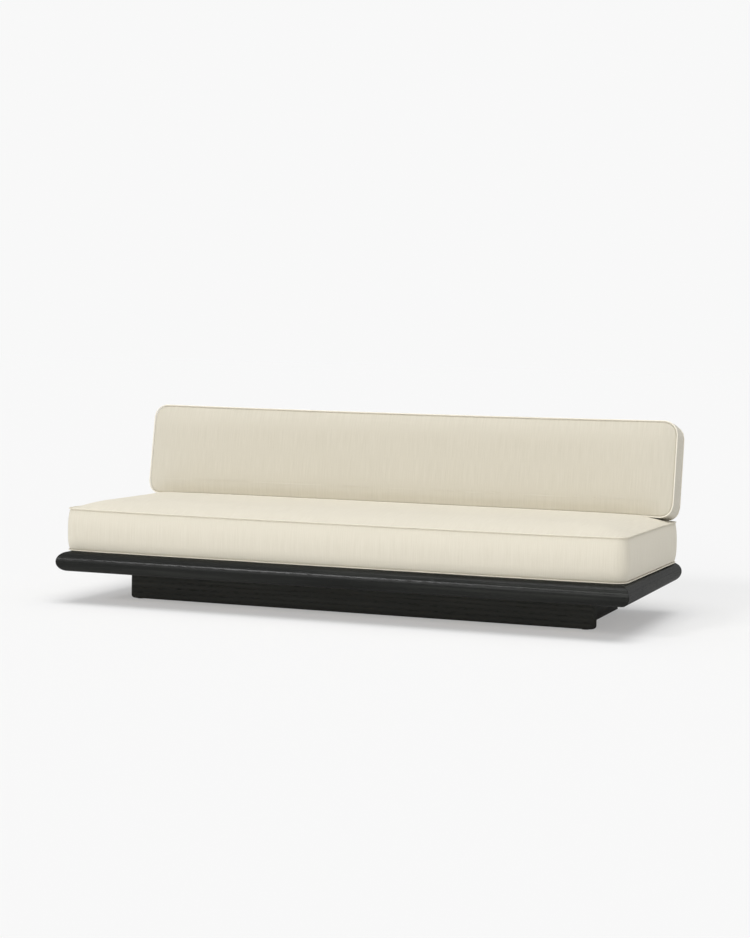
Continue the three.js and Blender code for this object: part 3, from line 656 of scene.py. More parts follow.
def placed_copies(name, form, spots, turns, material):
    """Copies of a form at spots, turned by Euler angles, made by a node tree into one mesh."""
    tree = bpy.data.node_groups.new(name, "GeometryNodeTree")
    for label, kind in [("Geometry", "NodeSocketGeometry"), ("Form", "NodeSocketObject"),
                        ("Size", "NodeSocketFloat"), ("Finish", "NodeSocketMaterial")]:
        tree.interface.new_socket(label, in_out="INPUT", socket_type=kind)
    tree.interface.new_socket("Geometry", in_out="OUTPUT", socket_type="NodeSocketGeometry")
    given = add_node(tree, "NodeGroupInput").outputs
    shape = add_node(tree, "GeometryNodeObjectInfo", {"Object": given["Form"]}).outputs["Geometry"]
    aim = add_node(tree, "GeometryNodeInputNamedAttribute", {
        "Name": "aim"}, data_type="FLOAT_VECTOR").outputs["Attribute"]
    copies = add_node(tree, "GeometryNodeInstanceOnPoints", {
        "Points": given["Geometry"], "Instance": shape, "Rotation": aim,
        "Scale": given["Size"]}).outputs["Instances"]
    real = add_node(tree, "GeometryNodeRealizeInstances", {"Geometry": copies}).outputs["Geometry"]
    painted = add_node(tree, "GeometryNodeSetMaterial", {
        "Geometry": real, "Material": given["Finish"]}).outputs["Geometry"]
    add_node(tree, "NodeGroupOutput", {"Geometry": painted})
    seeds = bpy.data.meshes.new(name + "_places")
    seeds.from_pydata([tuple(spot) for spot in spots], [], [])
    layer = seeds.attributes.new("aim", "FLOAT_VECTOR", "POINT")
    layer.data.foreach_set("vector", [c for turn in turns for c in turn])
    carrier, pattern = put_in_scene(name + "_places", seeds), put_in_scene(name + "_form", form)
    modifier = carrier.modifiers.new("Copies", "NODES")
    modifier.node_group = tree
    wanted = {"Form": pattern, "Size": 1.0, "Finish": material}
    for item in tree.interface.items_tree:
        if item.in_out == "INPUT" and item.name in wanted:
            modifier[item.identifier] = wanted[item.name]
    mesh = applied(carrier)
    bpy.data.objects.remove(pattern)
    return mesh


def mesh_from(name, work):
    """A mesh from a bmesh, which is freed."""
    mesh = bpy.data.meshes.new(name)
    work.to_mesh(mesh)
    work.free()
    return mesh


def joined(name, meshes):
    """Several meshes as one."""
    work = bmesh.new()
    for mesh in meshes:
        work.from_mesh(mesh)
    return mesh_from(name, work)


zinc = patterned("zinc plate", zinc_bloom, [(0.35, "#8f9295"), (0.7, "#b4b6b7")], rough=(0.28, 0.5),
                 Metallic=1.0)
button_form = screw_form("button_screw", [
    (socket_radius + socket_rim, button_height), (button_radius * 0.78, button_height * 0.82),
    (button_radius * 0.95, button_height * 0.45), (button_radius, 0.0004), (button_radius, 0),
    (screw_radius, 0), (screw_radius, -button_shank)])
sunk_form = screw_form("sunk_screw", [
    (sunk_radius - head_edge, 0), (sunk_radius, -head_edge), (screw_radius, -sunk_depth),
    (screw_radius, -sunk_shank), (0.0004, -sunk_length)])
arm_spots = [leaning @ Vector((x, bar_thickness + bar_clearance, z))
             for x in bracket_x for z in arm_screw_lift]
foot_spots = [Vector((x, y, front_rail_low.z)) for x in bracket_x for y in foot_screw_y]
arm_screws, foot_screws = [placed_copies(name, form, spots, [
    tuple((Matrix.Rotation(tilt, 3, "X") @ Matrix.Rotation(i * 0.7, 3, "Z")).to_euler())
    for i in range(len(spots))], zinc) for name, form, spots, tilt in [
        ("arm_screws", button_form, arm_spots, -math.pi / 2 - back_lean),
        ("foot_screws", sunk_form, foot_spots, math.pi)]]
add_piece("zinc_screws", joined("zinc_screws", [arm_screws, foot_screws]), zinc,
          "frame", "zinc_steel", *[f"board_screw_{i}" for i in range(1, 7)],
          *[f"bracket_screw_{place}_{i}" for place in ("left", "centre", "right") for i in (1, 2)])

# Hook strip
# A black nylon hook tape, 50 mm wide, stapled to the front of the back board with zinc wire
# staples. It grips the loop tape on the back cushion.

hook_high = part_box("hook_strip")[1]
strip_height = 0.050
strip_thickness = 0.0015
strip_corner = 0.002
strip_arris = 0.0004
strip_middle = back_board_lift + back_board_height / 2
hook_back = board_front - bar_clearance
staple_pitch = 0.085
staple_width = 0.010
staple_wire = 0.0011
staple_edge = 0.007
staple_leg = 0.003
staple_end_gap = 0.010
staple_bend = 0.0012


def hooks(tree):
    """Nylon hook tape: woven black ground with rows of small stiff hooks, drawn 2.2 mm apart, that
    catch the light as a fine regular grain."""
    hook_pitch = 0.0022
    place = add_node(tree, "Attribute", attribute_name="timber").outputs["Vector"]
    rows, files = [add_node(tree, "TexWave", {"Vector": place, "Scale": band_scale(hook_pitch)},
                            bands_direction=way).outputs["Fac"] for way in "XY"]
    return add_node(tree, "Math", {0: rows, 1: files}, operation="MULTIPLY").outputs[0]


def tape_strip(name, half_length, back):
    """A length of fastening tape in the leaning frame, its back at a depth."""
    return leaning_board(name, half_length, strip_height, strip_middle - strip_height / 2,
                         back - strip_thickness, back, strip_corner, strip_arris)


hook_finish = patterned("nylon hook tape", hooks, [(0.2, "#0e0e0e"), (0.8, "#2e2e2f")],
                        raised=(0.8, 0.0012), Roughness=0.6)
add_piece("nylon_hook_strip", tape_strip("nylon_hook_strip", hook_high.x, hook_back), hook_finish,
          "frame", "black_nylon", "hook_strip")

staple_path = bent_path([Vector((x * staple_width / 2, z)) for x, z in [
    (-1, -staple_leg), (-1, staple_wire / 2), (1, staple_wire / 2), (1, -staple_leg)]],
    staple_bend, steps=3)
staple_rings = []
for i, point in enumerate(staple_path):
    run = (staple_path[min(i + 1, len(staple_path) - 1)] - staple_path[max(i - 1, 0)]).normalized()
    across = Vector((-run.y, run.x))
    staple_rings.append([Vector((*(point + across * x * staple_wire / 2), y * staple_wire / 2))
                         for x, y in square_corners])
staple_form = finished_mesh("staple", *loft(staple_rings))
staple_count = math.floor(2 * (hook_high.x - 2 * staple_end_gap) / staple_pitch)
staple_spots = [leaning @ Vector((
    (i - staple_count / 2) * staple_pitch, hook_back - strip_thickness,
    strip_middle + row * (strip_height / 2 - staple_edge)))
    for i in range(staple_count + 1) for row in (-1, 1)]
staples = placed_copies("staples", staple_form, staple_spots,
                        [(math.pi - back_lean, 0, 0)] * len(staple_spots), zinc)
add_piece("zinc_staples", staples, zinc, "frame", "zinc_steel")

# Seat cushion
# A boxed cushion: two linen panels and a linen border round foam with a soft topper, which crowns
# the top and swells the border. The back cushion presses its rear down. It lies loose on the deck.

seat_half = Vector((1.085, 0.414))
seat_radius = 0.040
seat_border = 0.155
seat_crown = 0.033
seat_crown_width = 0.140
seat_rear_press = 0.260
seat_rear_roll = 0.060
seat_rear_drop = 0.007
seat_end_lift = 0.0025
seat_front_bow = 0.014
seat_shift = 0.007
seat_end_taper = 0.009
seat_end_spread = 0.006
seat_bulge = 0.008
seat_rear_bulge = 0.002
seat_set_back = 0.014
seat_centre_y = platform_centre_y + seat_set_back
piping_radius = 0.0025
piping_stand = 0.0008
cushion_gap = 0.0003
seam_bevel = (piping_radius + cushion_gap) * math.sqrt(2)
seat_low = deck_high.z + cushion_gap + piping_radius
zip_tape_width = 0.028
seat_zip_z = seat_low + seat_border / 4
rest_width = 0.040
seam_depth = 0.060
cushion_cell = 0.0155
held_inset = 0.01
held_share = 0.05
rear_edge = 0.03
line_gap = 0.003
corner_blend = 0.26
panel_insets = [0.0046, 0.0080, 0.0140, 0.0220, 0.0320, 0.0450, seam_depth]
border_shares = [0, 0.03, 0.08, 0.16, 0.27, 0.39, 0.5, 0.61, 0.73, 0.84, 0.92, 0.97, 1]

# How hard the filling pushes, and how far a push evens out. It fades where the back presses.
filling_pressure = 1.5
filling_steps = 20
evening_reach = 0.045
seat_swell = 0.0035
pressed_depth = 0.150
pressed_fade = 0.12

# The slot over a zip, with rows of cloth close to its edges, and room for the slider at its end.
slot_half_height = 0.0047
slot_end_gap = 0.008
slider_run = 0.022
slot_wall = 0.0012
slot_share = 0.06
slot_steps = (-0.0068, -0.0052, -0.0042, 0.0042, 0.0052, 0.0068)

# The gathers that run off the seams, and the unevenness of a cover filled by hand.
gather_reach = 0.020
gather_start = 0.003
gather_rise = 0.004
gather_width = 0.011
pleat_width = 0.034
hollow_width = 0.16
dimple_width = 0.06
hollow_start = 0.006
hollow_rise = 0.05
resting_edge = 0.002
smooth_depth = 0.10


def rise(share):
    """Quick at first, then level: 0 to 1 as share goes from 0 to 1."""
    return 1 - (1 - np.clip(share, 0, 1)) ** 2


def blend_between(a, b, share):
    """a where share is 0, b where it is 1."""
    return a + (b - a) * share


class Cushion:
    """A boxed cushion, lying down: its sizes between the seams and how its skin leaves a box. The
    crown rises over a width of its own from the ends, the front and the rear."""

    def __init__(self, half, radius, low, thickness, crown, crown_widths):
        self.half, self.radius, self.low, self.high = half, radius, low, low + thickness
        self.crown, self.crown_widths = crown, crown_widths

    def seam(self, x, y):
        """Height of the upper seam."""
        return self.high + 0 * x

    def press(self, y):
        """How fully the crown stands, at a place from front to rear."""
        return 1.0

    def bulge(self, out_y):
        """How far the border swells, where it faces out_y."""
        return 0.0

    def sideways(self, x, y):
        """How far the real outline is moved along X."""
        return 0.0

    def draw(self, x, y):
        """Where the seam line really runs, for a place on the plain outline."""
        return x, y

    def inset(self, x, y):
        """Distance in from the plain outline."""
        qx = np.abs(x) - (self.half.x - self.radius)
        qy = np.abs(y) - (self.half.y - self.radius)
        outside = np.hypot(np.maximum(qx, 0), np.maximum(qy, 0))
        return self.radius - outside - np.minimum(np.maximum(qx, qy), 0)

    def top(self, x, y):
        """Height of the upper panel."""
        end, front, rear = self.crown_widths
        full = (rise((self.half.x - np.abs(x) - seam_bevel) / end)
                * rise((self.half.y + y - seam_bevel) / front)
                * rise((self.half.y - y - seam_bevel) / rear) * self.press(y))
        return blend_between(self.seam(x, y), self.high + self.crown, full)

    def foot(self, x, y):
        """Height of the lower panel, which rests on something away from its seam."""
        share = np.clip((self.inset(x, y) - seam_bevel) / (rest_width - seam_bevel), 0, 1)
        return self.low - piping_radius * share


class SeatCushion(Cushion):
    def seam(self, x, y):
        return (self.high + seat_end_lift * (x / self.half.x) ** 4
                - seat_rear_drop * (np.maximum(y, 0) / self.half.y) ** 2)

    def press(self, y):
        return rise((self.half.y - y - seam_bevel) / seat_rear_press)

    def bulge(self, out_y):
        return blend_between(seat_bulge, seat_rear_bulge, np.maximum(out_y, 0))

    def sideways(self, x, y):
        """It lies a little to the left, and its right end is narrow in front and spread behind."""
        to_rear = np.clip((y / self.half.y + 1) / 2, 0, 1)
        spread = blend_between(-seat_end_taper, seat_end_spread, to_rear)
        return spread * np.clip(x / self.half.x, 0, 1) ** 4 - seat_shift

    def draw(self, x, y):
        bow = seat_front_bow / self.half.y * (x / self.half.x) ** 6
        return x + self.sideways(x, y), y * (1 - np.where(y < 0, bow, 0))


def grid_lines(reach, extra=()):
    """Places from -reach to reach about a cell apart, with the extra ones among them."""
    count = 2 * round(reach / cushion_cell)
    even = [reach * (2 * i / count - 1) for i in range(count + 1)]
    kept = [x for x in even
            if abs(x) == reach or all(abs(x - other) > line_gap for other in extra)]
    return np.array(sorted([*kept, *extra]))


def seam_stations(cushion, xs, ys):
    """Once round, anticlockwise: seam places, places on the inner rectangle, directions out, and
    lengths along the seam."""
    seam, inner, outs, runs = [], [], [], []
    start = 0.0
    for lines, tangent, normal in [
            (xs, (1, 0), (0, -1)), (ys, (0, 1), (1, 0)),
            (xs, (-1, 0), (0, 1)), (ys, (0, -1), (-1, 0))]:
        t, n = np.array(tangent), np.array(normal)
        half = abs(t @ np.array(cushion.half))
        deep = abs(n @ np.array(cushion.half))
        s = lines[:-1] if sum(tangent) > 0 else -lines[:0:-1]
        inner_half = half - seam_depth
        outer_half = half - cushion.radius * (1 - math.pi / 4)
        reach = min(corner_blend, inner_half * 0.9)
        # Nearer a corner the places drift apart smoothly, until they run round half its arc.
        late = np.clip((np.abs(s) - inner_half + reach) / reach, 0, 1)
        run = s + np.sign(s) * (outer_half - inner_half) * late * late * (3 - 2 * late)
        straight = half - cushion.radius
        bend = np.maximum(np.abs(run) - straight, 0) / cushion.radius
        along = np.sign(run) * (np.minimum(np.abs(run), straight) + cushion.radius * np.sin(bend))
        across = deep - cushion.radius * (1 - np.cos(bend))
        seam.append(np.outer(along, t) + np.outer(across, n))
        inner.append(np.outer(s, t) + np.outer(np.full(len(s), deep - seam_depth), n))
        outs.append(np.outer(np.sign(run) * np.sin(bend), t) + np.outer(np.cos(bend), n))
        runs.append(start + run + outer_half)
        start += 2 * outer_half
    return np.vstack(seam), np.vstack(inner), np.vstack(outs), np.append(np.hstack(runs), start)


def rectangle(start, end, low, high):
    """Four corners, anticlockwise from the lower left."""
    return [(start, low), (end, low), (end, high), (start, high)]


def cushion_skin(cushion, shares, extra_y=()):
    """The cushion's skin as points, four-cornered faces, cloth places for each face corner, and how
    firmly each point is held by the seams and the foot."""
    xs = grid_lines(cushion.half.x - seam_depth)
    ys = grid_lines(cushion.half.y - seam_depth, extra_y)
    seam, inner, outs, runs = seam_stations(cushion, xs, ys)
    count = len(seam)
    points, held = [], []

    def add_ring(place, z, firm):
        points.append(np.column_stack([*cushion.draw(place[:, 0], place[:, 1]), z]))
        held.append(np.full(count, firm))

    def panel_ring(inset, height):
        place = seam + (inner - seam) * inset / seam_depth
        add_ring(place, height(place[:, 0], place[:, 1]), 1.0 if inset < held_inset else 0.0)

    valley = 0.0027
    lip = panel_insets[0]
    head = cushion.seam(seam[:, 0], seam[:, 1])
    for inset in panel_insets[::-1]:
        panel_ring(inset, cushion.foot)
    panel_ring(valley, lambda x, y: cushion.low + valley + 0 * x)
    for share in shares:
        z = blend_between(cushion.low + lip, head - lip, share)
        # Fullest just below the middle, and nearly level there.
        swell = 1 - abs(2 * share ** 0.9 - 1) ** 2.6
        swollen = seam + outs * (swell * cushion.bulge(outs[:, 1]))[:, None]
        add_ring(swollen, z, 1.0 if min(share, 1 - share) < held_share else 0.0)
    panel_ring(valley, lambda x, y: cushion.seam(x, y) - valley)
    for inset in panel_insets:
        panel_ring(inset, cushion.top)
    rings = len(points)
    faces, corners = [], []

    def add_face(spots, cloths):
        faces.append(spots)
        corners.extend(cloths)

    first_border, last_border = len(panel_insets) + 1, len(panel_insets) + len(shares)
    for k in range(rings - 1):
        on_border = first_border <= k < last_border
        for i in range(count):
            j = (i + 1) % count
            spots = (k * count + i, k * count + j, (k + 1) * count + j, (k + 1) * count + i)
            if on_border:
                low, high = points[k][i][2], points[k + 1][i][2]
                add_face(spots, rectangle(runs[i], runs[i + 1], low, high))
            else:
                add_face(spots, [tuple(points[row][col][:2])
                                 for row, col in ((k, i), (k, j), (k + 1, j), (k + 1, i))])
    grid_x, grid_y = np.meshgrid(xs[1:-1], ys[1:-1], indexing="ij")
    flat_x, flat_y = grid_x.ravel(), grid_y.ravel()
    columns, rows = len(xs) - 1, len(ys) - 1
    for base_ring, height, firm, turned in [
            (0, cushion.foot, 1.0, True), (rings - 1, cushion.top, 0.0, False)]:
        start = sum(len(part) for part in points)
        points.append(np.column_stack([*cushion.draw(flat_x, flat_y), height(flat_x, flat_y)]))
        held.append(np.full(len(flat_x), firm))

        def spot(i, j):
            if j == 0:
                return base_ring * count + i
            if i == columns:
                return base_ring * count + columns + j
            if j == rows:
                return base_ring * count + columns + rows + (columns - i)
            if i == 0:
                return base_ring * count + 2 * columns + rows + (rows - j)
            return start + (i - 1) * (rows - 1) + (j - 1)

        for i in range(columns):
            for j in range(rows):
                around = [(i, j), (i + 1, j), (i + 1, j + 1), (i, j + 1)]
                around = around[::-1] if turned else around
                add_face(tuple(spot(*at) for at in around), [(xs[a], ys[b]) for a, b in around])
    seam_line = np.column_stack(cushion.draw(seam[:, 0], seam[:, 1]))
    return np.vstack(points), faces, corners, np.hstack(held), (seam_line, head, runs)


def stuffed(points, faces, held, most, loose):
    """The points after the filling has blown the cloth out. Neighbours even one another out, and
    none moves further than most. loose is how far each point may follow, from 0 to 1."""
    mesh = bpy.data.meshes.new("filling")
    mesh.from_pydata(points.tolist(), [], faces)
    body = put_in_scene("filling", mesh)
    sewn = body.vertex_groups.new(name="sewn")
    sewn.add([int(i) for i in np.flatnonzero(held > 0.5)], 1.0, "REPLACE")
    modifier = body.modifiers.new("Filling", "CLOTH")
    for setting, value in {
            "quality": 6, "mass": 0.2, "tension_stiffness": 12, "compression_stiffness": 12,
            "shear_stiffness": 4, "bending_stiffness": 0.6, "use_pressure": True,
            "uniform_pressure_force": filling_pressure, "vertex_group_mass": "sewn"}.items():
        setattr(modifier.settings, setting, value)
    modifier.settings.effector_weights.gravity = 0
    modifier.collision_settings.use_collision = False
    modifier.point_cache.frame_start, modifier.point_cache.frame_end = 1, filling_steps
    for number in range(filling_steps):
        bpy.context.scene.frame_set(number + 1)
    evaluated = body.evaluated_get(bpy.context.evaluated_depsgraph_get())
    blown = np.empty(len(points) * 3)
    evaluated.data.vertices.foreach_get("co", blown)
    bpy.context.scene.frame_set(1)
    bpy.data.objects.remove(body)
    moved = blown.reshape(-1, 3) - points
    whole = kdtree.KDTree(len(points))
    for i, point in enumerate(points):
        whole.insert(point, i)
    whole.balance()
    evened = np.empty_like(moved)
    for i, point in enumerate(points):
        _, numbers, distances = zip(*whole.find_range(point, evening_reach))
        share = (1 - np.array(distances) / evening_reach) ** 2
        evened[i] = share @ moved[list(numbers)] / share.sum()
    length = np.maximum(np.linalg.norm(evened, axis=1), 1e-9)
    capped = most * np.tanh(length / most) * loose * (held < 0.5)
    return points + evened / length[:, None] * capped[:, None]


def relief(places, size, seed):
    """Smooth seeded noise, -1 to 1, at each place, in waves of a size."""
    shift = Vector((seed * 7.3, seed * 3.1, seed * 1.7))
    return np.array([noise.noise(Vector(place) / size + shift) for place in places])


def cloth_mesh(name, points, faces, corners, place=Matrix.Identity(4), subdivide=True):
    """A cloth skin, its cloth places a UV map in metres, put in its place and subdivided."""
    mesh = bpy.data.meshes.new(name)
    mesh.from_pydata(points.tolist(), [], faces)
    layer = mesh.uv_layers.new(name="cloth")
    layer.data.foreach_set("uv", np.ravel(corners))
    mesh.transform(place)
    mesh.shade_smooth()
    if not subdivide:
        return mesh
    body = put_in_scene(name, mesh)
    finer = body.modifiers.new("Finer", "SUBSURF")
    finer.levels = finer.render_levels = 1
    return applied(body)


def gathered(mesh, cushion, place, gather, unevenness, seed, shows):
    """Moves a subdivided skin in and out: small gathers that run off the seams, and the broad
    unevenness of a hand-filled cover. shows takes lying places and says how much of it shows."""
    size = len(mesh.vertices)
    flat = np.empty(size * 3)
    mesh.vertices.foreach_get("co", flat)
    points = flat.reshape(-1, 3)
    normals = np.empty(size * 3)
    mesh.vertices.foreach_get("normal", normals)
    back = np.array(place.inverted())
    lying = points @ back[:3, :3].T + back[:3, 3]
    x, y, z = lying.T
    x = x - cushion.sideways(x, y)
    reach_x, reach_y = cushion.half.x - cushion.radius, cushion.half.y - cushion.radius
    core = np.column_stack([np.clip(x, -reach_x, reach_x), np.clip(y, -reach_y, reach_y)])
    arm = np.column_stack([x, y]) - core
    length = np.maximum(np.linalg.norm(arm, axis=1), 1e-6)
    on_seam = np.column_stack([core + arm / length[:, None] * cushion.radius, 0 * x])
    inward = np.maximum(cushion.inset(x, y), 0)
    to_seam = np.minimum(np.hypot(inward, z - cushion.seam(x, y)),
                         np.hypot(inward, z - cushion.low))
    near = np.exp(-to_seam / gather_reach) * np.clip((to_seam - gather_start) / gather_rise, 0, 1)
    folds = relief(on_seam, gather_width, seed) + 0.6 * relief(on_seam, pleat_width, seed + 1)
    broad = relief(lying, hollow_width, seed + 2) + 0.5 * relief(lying, dimple_width, seed + 3)
    away = np.clip((to_seam - hollow_start) / hollow_rise, 0, 1)
    push = (gather * near * folds + unevenness * away * broad) * shows(x, y, z)
    mesh.vertices.foreach_set("co", np.ravel(points + normals.reshape(-1, 3) * push[:, None]))
    mesh.update()


def in_slot(points, on_side, across, middle, zip_box):
    """Whether each point of a cover lies in the slot over its zip, which runs along X."""
    return (on_side & (np.abs(points[:, across] - middle) < slot_half_height)
            & (points[:, 0] > zip_box[0].x - slot_end_gap)
            & (points[:, 0] < zip_box[1].x + slider_run))


def slub_linen(name, light, dark, thread=0.0021, turn=0.0):
    """Heavy linen in a plain weave: matt, with long thicker threads, or slubs, that stand a little
    lighter or darker, and a dry fuzz at the edges. Threads are 0.9 mm apart and are drawn wider."""
    slub_width = 0.0034
    long_slub = 0.11
    cross_slub = 0.09
    strays_per_metre = 40
    stray_reach = 0.004
    material, tree, shader = start_material(
        name, Roughness=0.62, Specular_IOR_Level=0.5, Sheen_Weight=0.1, Sheen_Roughness=0.5)
    flat = add_node(tree, "UVMap", uv_map="cloth").outputs["UV"]
    turned = add_node(tree, "Mapping", {"Vector": flat, "Rotation": (0, 0, turn)}).outputs["Vector"]
    stray = add_node(tree, "TexNoise", {"Vector": turned, "Scale": strays_per_metre, "Detail": 2.0})
    centred = add_node(tree, "VectorMath", {
        0: stray.outputs["Color"], 1: (0.5, 0.5, 0.5)}, operation="SUBTRACT")
    woven = add_node(tree, "VectorMath", {
        0: centred.outputs[0], 1: (stray_reach, stray_reach, 0), 2: turned},
        operation="MULTIPLY_ADD").outputs[0]
    warp, weft = [add_node(tree, "TexWave", {"Vector": woven, "Scale": band_scale(thread)},
                           bands_direction=way).outputs["Fac"] for way in "XY"]
    pillow = add_node(tree, "Math", {0: warp, 1: weft}, operation="MULTIPLY").outputs[0]
    drawn_out = [add_node(tree, "Mapping", {
        "Vector": woven, "Scale": (1 / wide, 1 / high, 1)}).outputs["Vector"]
        for wide, high in [(slub_width, long_slub), (cross_slub, slub_width)]]
    long_slubs, cross_slubs = [add_node(tree, "TexNoise", {
        "Vector": drawn, "Scale": 1.0, "Detail": 3.0, "Roughness": 0.6}).outputs["Fac"]
        for drawn in drawn_out]
    slubs = add_node(tree, "Mix", {"Factor": 0.14, 2: long_slubs, 3: cross_slubs}).outputs[0]
    tone = add_node(tree, "Math", {0: pillow, 1: 0.10, 2: slubs}, operation="MULTIPLY_ADD")
    add_node(tree, "ValToRGB", {"Fac": tone.outputs[0]}, [(0.2, dark), (0.8, light)],
             feeds=[shader.inputs["Base Color"]])
    raised = add_node(tree, "Math", {0: slubs, 1: 1.2, 2: pillow}, operation="MULTIPLY_ADD")
    add_node(tree, "Bump", {"Height": raised.outputs[0], "Strength": 0.35, "Distance": 0.0006},
             feeds=[shader.inputs["Normal"]])
    return material


linen = slub_linen("slub linen", "#dfd9c9", "#d2cbb9")
seat = SeatCushion(seat_half, seat_radius, seat_low, seat_border, seat_crown,
                   (seat_crown_width, seat_crown_width, seat_rear_roll))
seat_place = Matrix.Translation((0, seat_centre_y, 0))
seat_zip_share = (seat_zip_z - seat_low - panel_insets[0]) / (seat_border - 2 * panel_insets[0])
slot_rows = [seat_zip_share + step / seat_border for step in slot_steps]
seat_shares = sorted(slot_rows + [share for share in border_shares
                                  if abs(share - seat_zip_share) > slot_share])
points, faces, corners, held, seat_seam = cushion_skin(seat, seat_shares)

# The filling doesn't push where the back cushion presses, nor on the border with the zip.
free_top = np.clip((seat_half.y - pressed_depth - points[:, 1]) / pressed_fade, 0, 1)
on_rear = (points[:, 1] > seat_half.y - rear_edge) & (points[:, 2] < seat_low + seat_border)
points = stuffed(points, faces, held, seat_swell, np.where(on_rear, 0.0, free_top))
zip_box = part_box("seat_zip")
points[in_slot(points, on_rear, 2, seat_zip_z, zip_box), 1] = (
    zip_box[0].y - slot_wall - seat_centre_y)
cover = cloth_mesh("linen_seat_cover", points, faces, corners, seat_place)
gathered(cover, seat, seat_place, gather=0.0007, unevenness=0.0008, seed=3,
         shows=lambda x, y, z: (z > seat_low + resting_edge) * np.clip(
             (seat_half.y - smooth_depth - y) / pressed_fade, 0, 1))
seat_cover = add_piece("linen_seat_cover", cover, linen, "seat_cushion", "cream_linen",
                       "seat_cover", "seat_foam_base", "seat_foam_topper")

# Seat piping
# A cord in bias-cut linen, 5 mm thick, sewn into the upper and the lower seam. It stands just clear
# of the panel and the border, and wanders a little where it was eased round.

piping_girth = 0.0157
piping_stray = 0.0004
piping_waver = 0.05
piping_thread = 0.0019
stray_length = 0.09
waver_length = 0.012


def piping_mesh(name, seam_line, heights, runs, place, seed, sides=10):
    """A closed tube along a seam."""
    path = np.column_stack([seam_line, heights])
    stray = relief(path, stray_length, seed) * piping_stray
    ahead = np.roll(path, -1, axis=0) - np.roll(path, 1, axis=0)
    ahead /= np.linalg.norm(ahead, axis=1)[:, None]
    sideways = np.cross(ahead, (0, 0, 1))
    sideways /= np.linalg.norm(sideways, axis=1)[:, None]
    path += sideways * piping_stand
    upward = np.cross(sideways, ahead)
    radii = piping_radius * (1 + piping_waver * relief(path, waver_length, seed + 1))
    count = len(path)
    points, faces, corners = [], [], []
    for k in range(sides):
        angle = 2 * math.pi * k / sides
        arm = sideways * math.cos(angle) + upward * math.sin(angle)
        points.append(path + arm * radii[:, None] + upward * stray[:, None])
        for i in range(count):
            j, up = (i + 1) % count, (k + 1) % sides
            faces.append((k * count + i, k * count + j, up * count + j, up * count + i))
            low, high = k * piping_girth / sides, (k + 1) * piping_girth / sides
            corners += rectangle(runs[i], runs[i + 1], low, high)
    return cloth_mesh(name, np.vstack(points), faces, corners, place, subdivide=False)


def add_piping(which, levels, cushion, seam, place, seed, finish):
    """The cords in a cushion's upper and lower seam, as it lies."""
    seam_line, head, runs = seam
    for level, heights in zip(levels, [head, np.full(len(head), cushion.low)]):
        name = f"linen_{which}_piping_{level}"
        add_piece(name, piping_mesh(name, seam_line, heights, runs, place, seed), finish,
                  f"{which}_cushion", "cream_piping", f"{which}_piping_{level}")


piping_linen = slub_linen("bias-cut linen", "#e2dccb", "#d6cfbd", piping_thread, math.pi / 4)
add_piping("seat", ("upper", "lower"), seat, seat_seam, seat_place, 11, piping_linen)

# Seat zip
# A nylon coil zip in the rear border: cotton tape behind the slot, a row of coils in it, and a zinc
# slider with a pull tab that rides on the coils.

coil_pitch = 0.0026
coil_half = Vector((0.00115, 0.0029, 0.0015))
coil_stand = 0.0016
tape_thickness = 0.001
tape_arris = 0.0003
slider_arris = 0.00035


def coil_form(name):
    """One turn of a zip's coil: a rounded bar across the slot, on Y = 0 and facing -Z."""
    work = bmesh.new()
    bmesh.ops.create_icosphere(work, subdivisions=2, radius=1.0)
    for vert in work.verts:
        vert.co = vert.co * coil_half
    mesh = mesh_from(name, work)
    mesh.shade_smooth()
    return mesh


def zip_mesh(name, reach, place):
    """A zip along X: its tape lies behind Y = 0 and its coils stand in front of it."""
    count = math.floor(2 * reach / coil_pitch)
    spots = [place @ Vector(((i - count / 2) * coil_pitch, coil_stand, 0))
             for i in range(count + 1)]
    turn = (place.to_3x3() @ Matrix.Rotation(-math.pi / 2, 3, "X")).to_euler()
    coils = placed_copies(name + "_coils", coil_form(name + "_coil"), spots,
                          [tuple(turn)] * len(spots), cream_tape)
    tape = board_mesh(name + "_tape", Vector((-reach, -tape_thickness, -zip_tape_width / 2)),
                      Vector((reach, 0, zip_tape_width / 2)), 0, tape_arris)
    tape.transform(place)
    return joined(name, [tape, coils])


def slider_mesh(name, place):
    """A slider at X = 0, on its coils: a body with flared shoulders, a bridge and a hanging tab."""
    work = bmesh.new()
    for size, middle, taper in [
            ((0.0140, 0.0013, 0.0090), (0, 0.0044, 0), 0.72),
            ((0.0080, 0.0016, 0.0022), (0, 0.0058, 0), 1.0),
            ((0.0046, 0.0010, 0.0210), (0.0012, 0.0058, -0.0108), 0.8)]:
        made = bmesh.ops.create_cube(work, size=1.0)["verts"]
        is_body, is_tab = size[0] > 0.01, size[2] > 0.02
        for vert in made:
            narrow = taper if vert.co.x < 0 and is_body or vert.co.z < 0 and is_tab else 1
            across = (1, 1, narrow) if is_body else (narrow, 1, 1)
            vert.co = Vector(c * s * a + m for c, s, a, m in zip(vert.co, size, across, middle))
    bmesh.ops.bevel(work, geom=work.edges, offset=slider_arris, segments=2, profile=0.5,
                    affect="EDGES")
    mesh = mesh_from(name, work)
    mesh.transform(place)
    mesh.shade_smooth()
    mesh.set_sharp_from_angle(angle=math.radians(40))
    return mesh


def add_zip(which, place):
    """A cushion's zip, and its slider at the end where the CAD has it."""
    name, node = f"nylon_{which}_zip", f"{which}_zip"
    add_piece(name, zip_mesh(name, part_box(node)[1].x, place), cream_tape,
              f"{which}_cushion", "cream_tape", node)
    low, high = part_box(f"{which}_zip_slider")
    slider_place = place @ Matrix.Translation(((low.x + high.x) / 2, 0, 0))
    name = f"zinc_{which}_slider"
    add_piece(name, slider_mesh(name, slider_place), zinc,
              f"{which}_zip_slider", "zinc_steel", f"{which}_zip_slider")


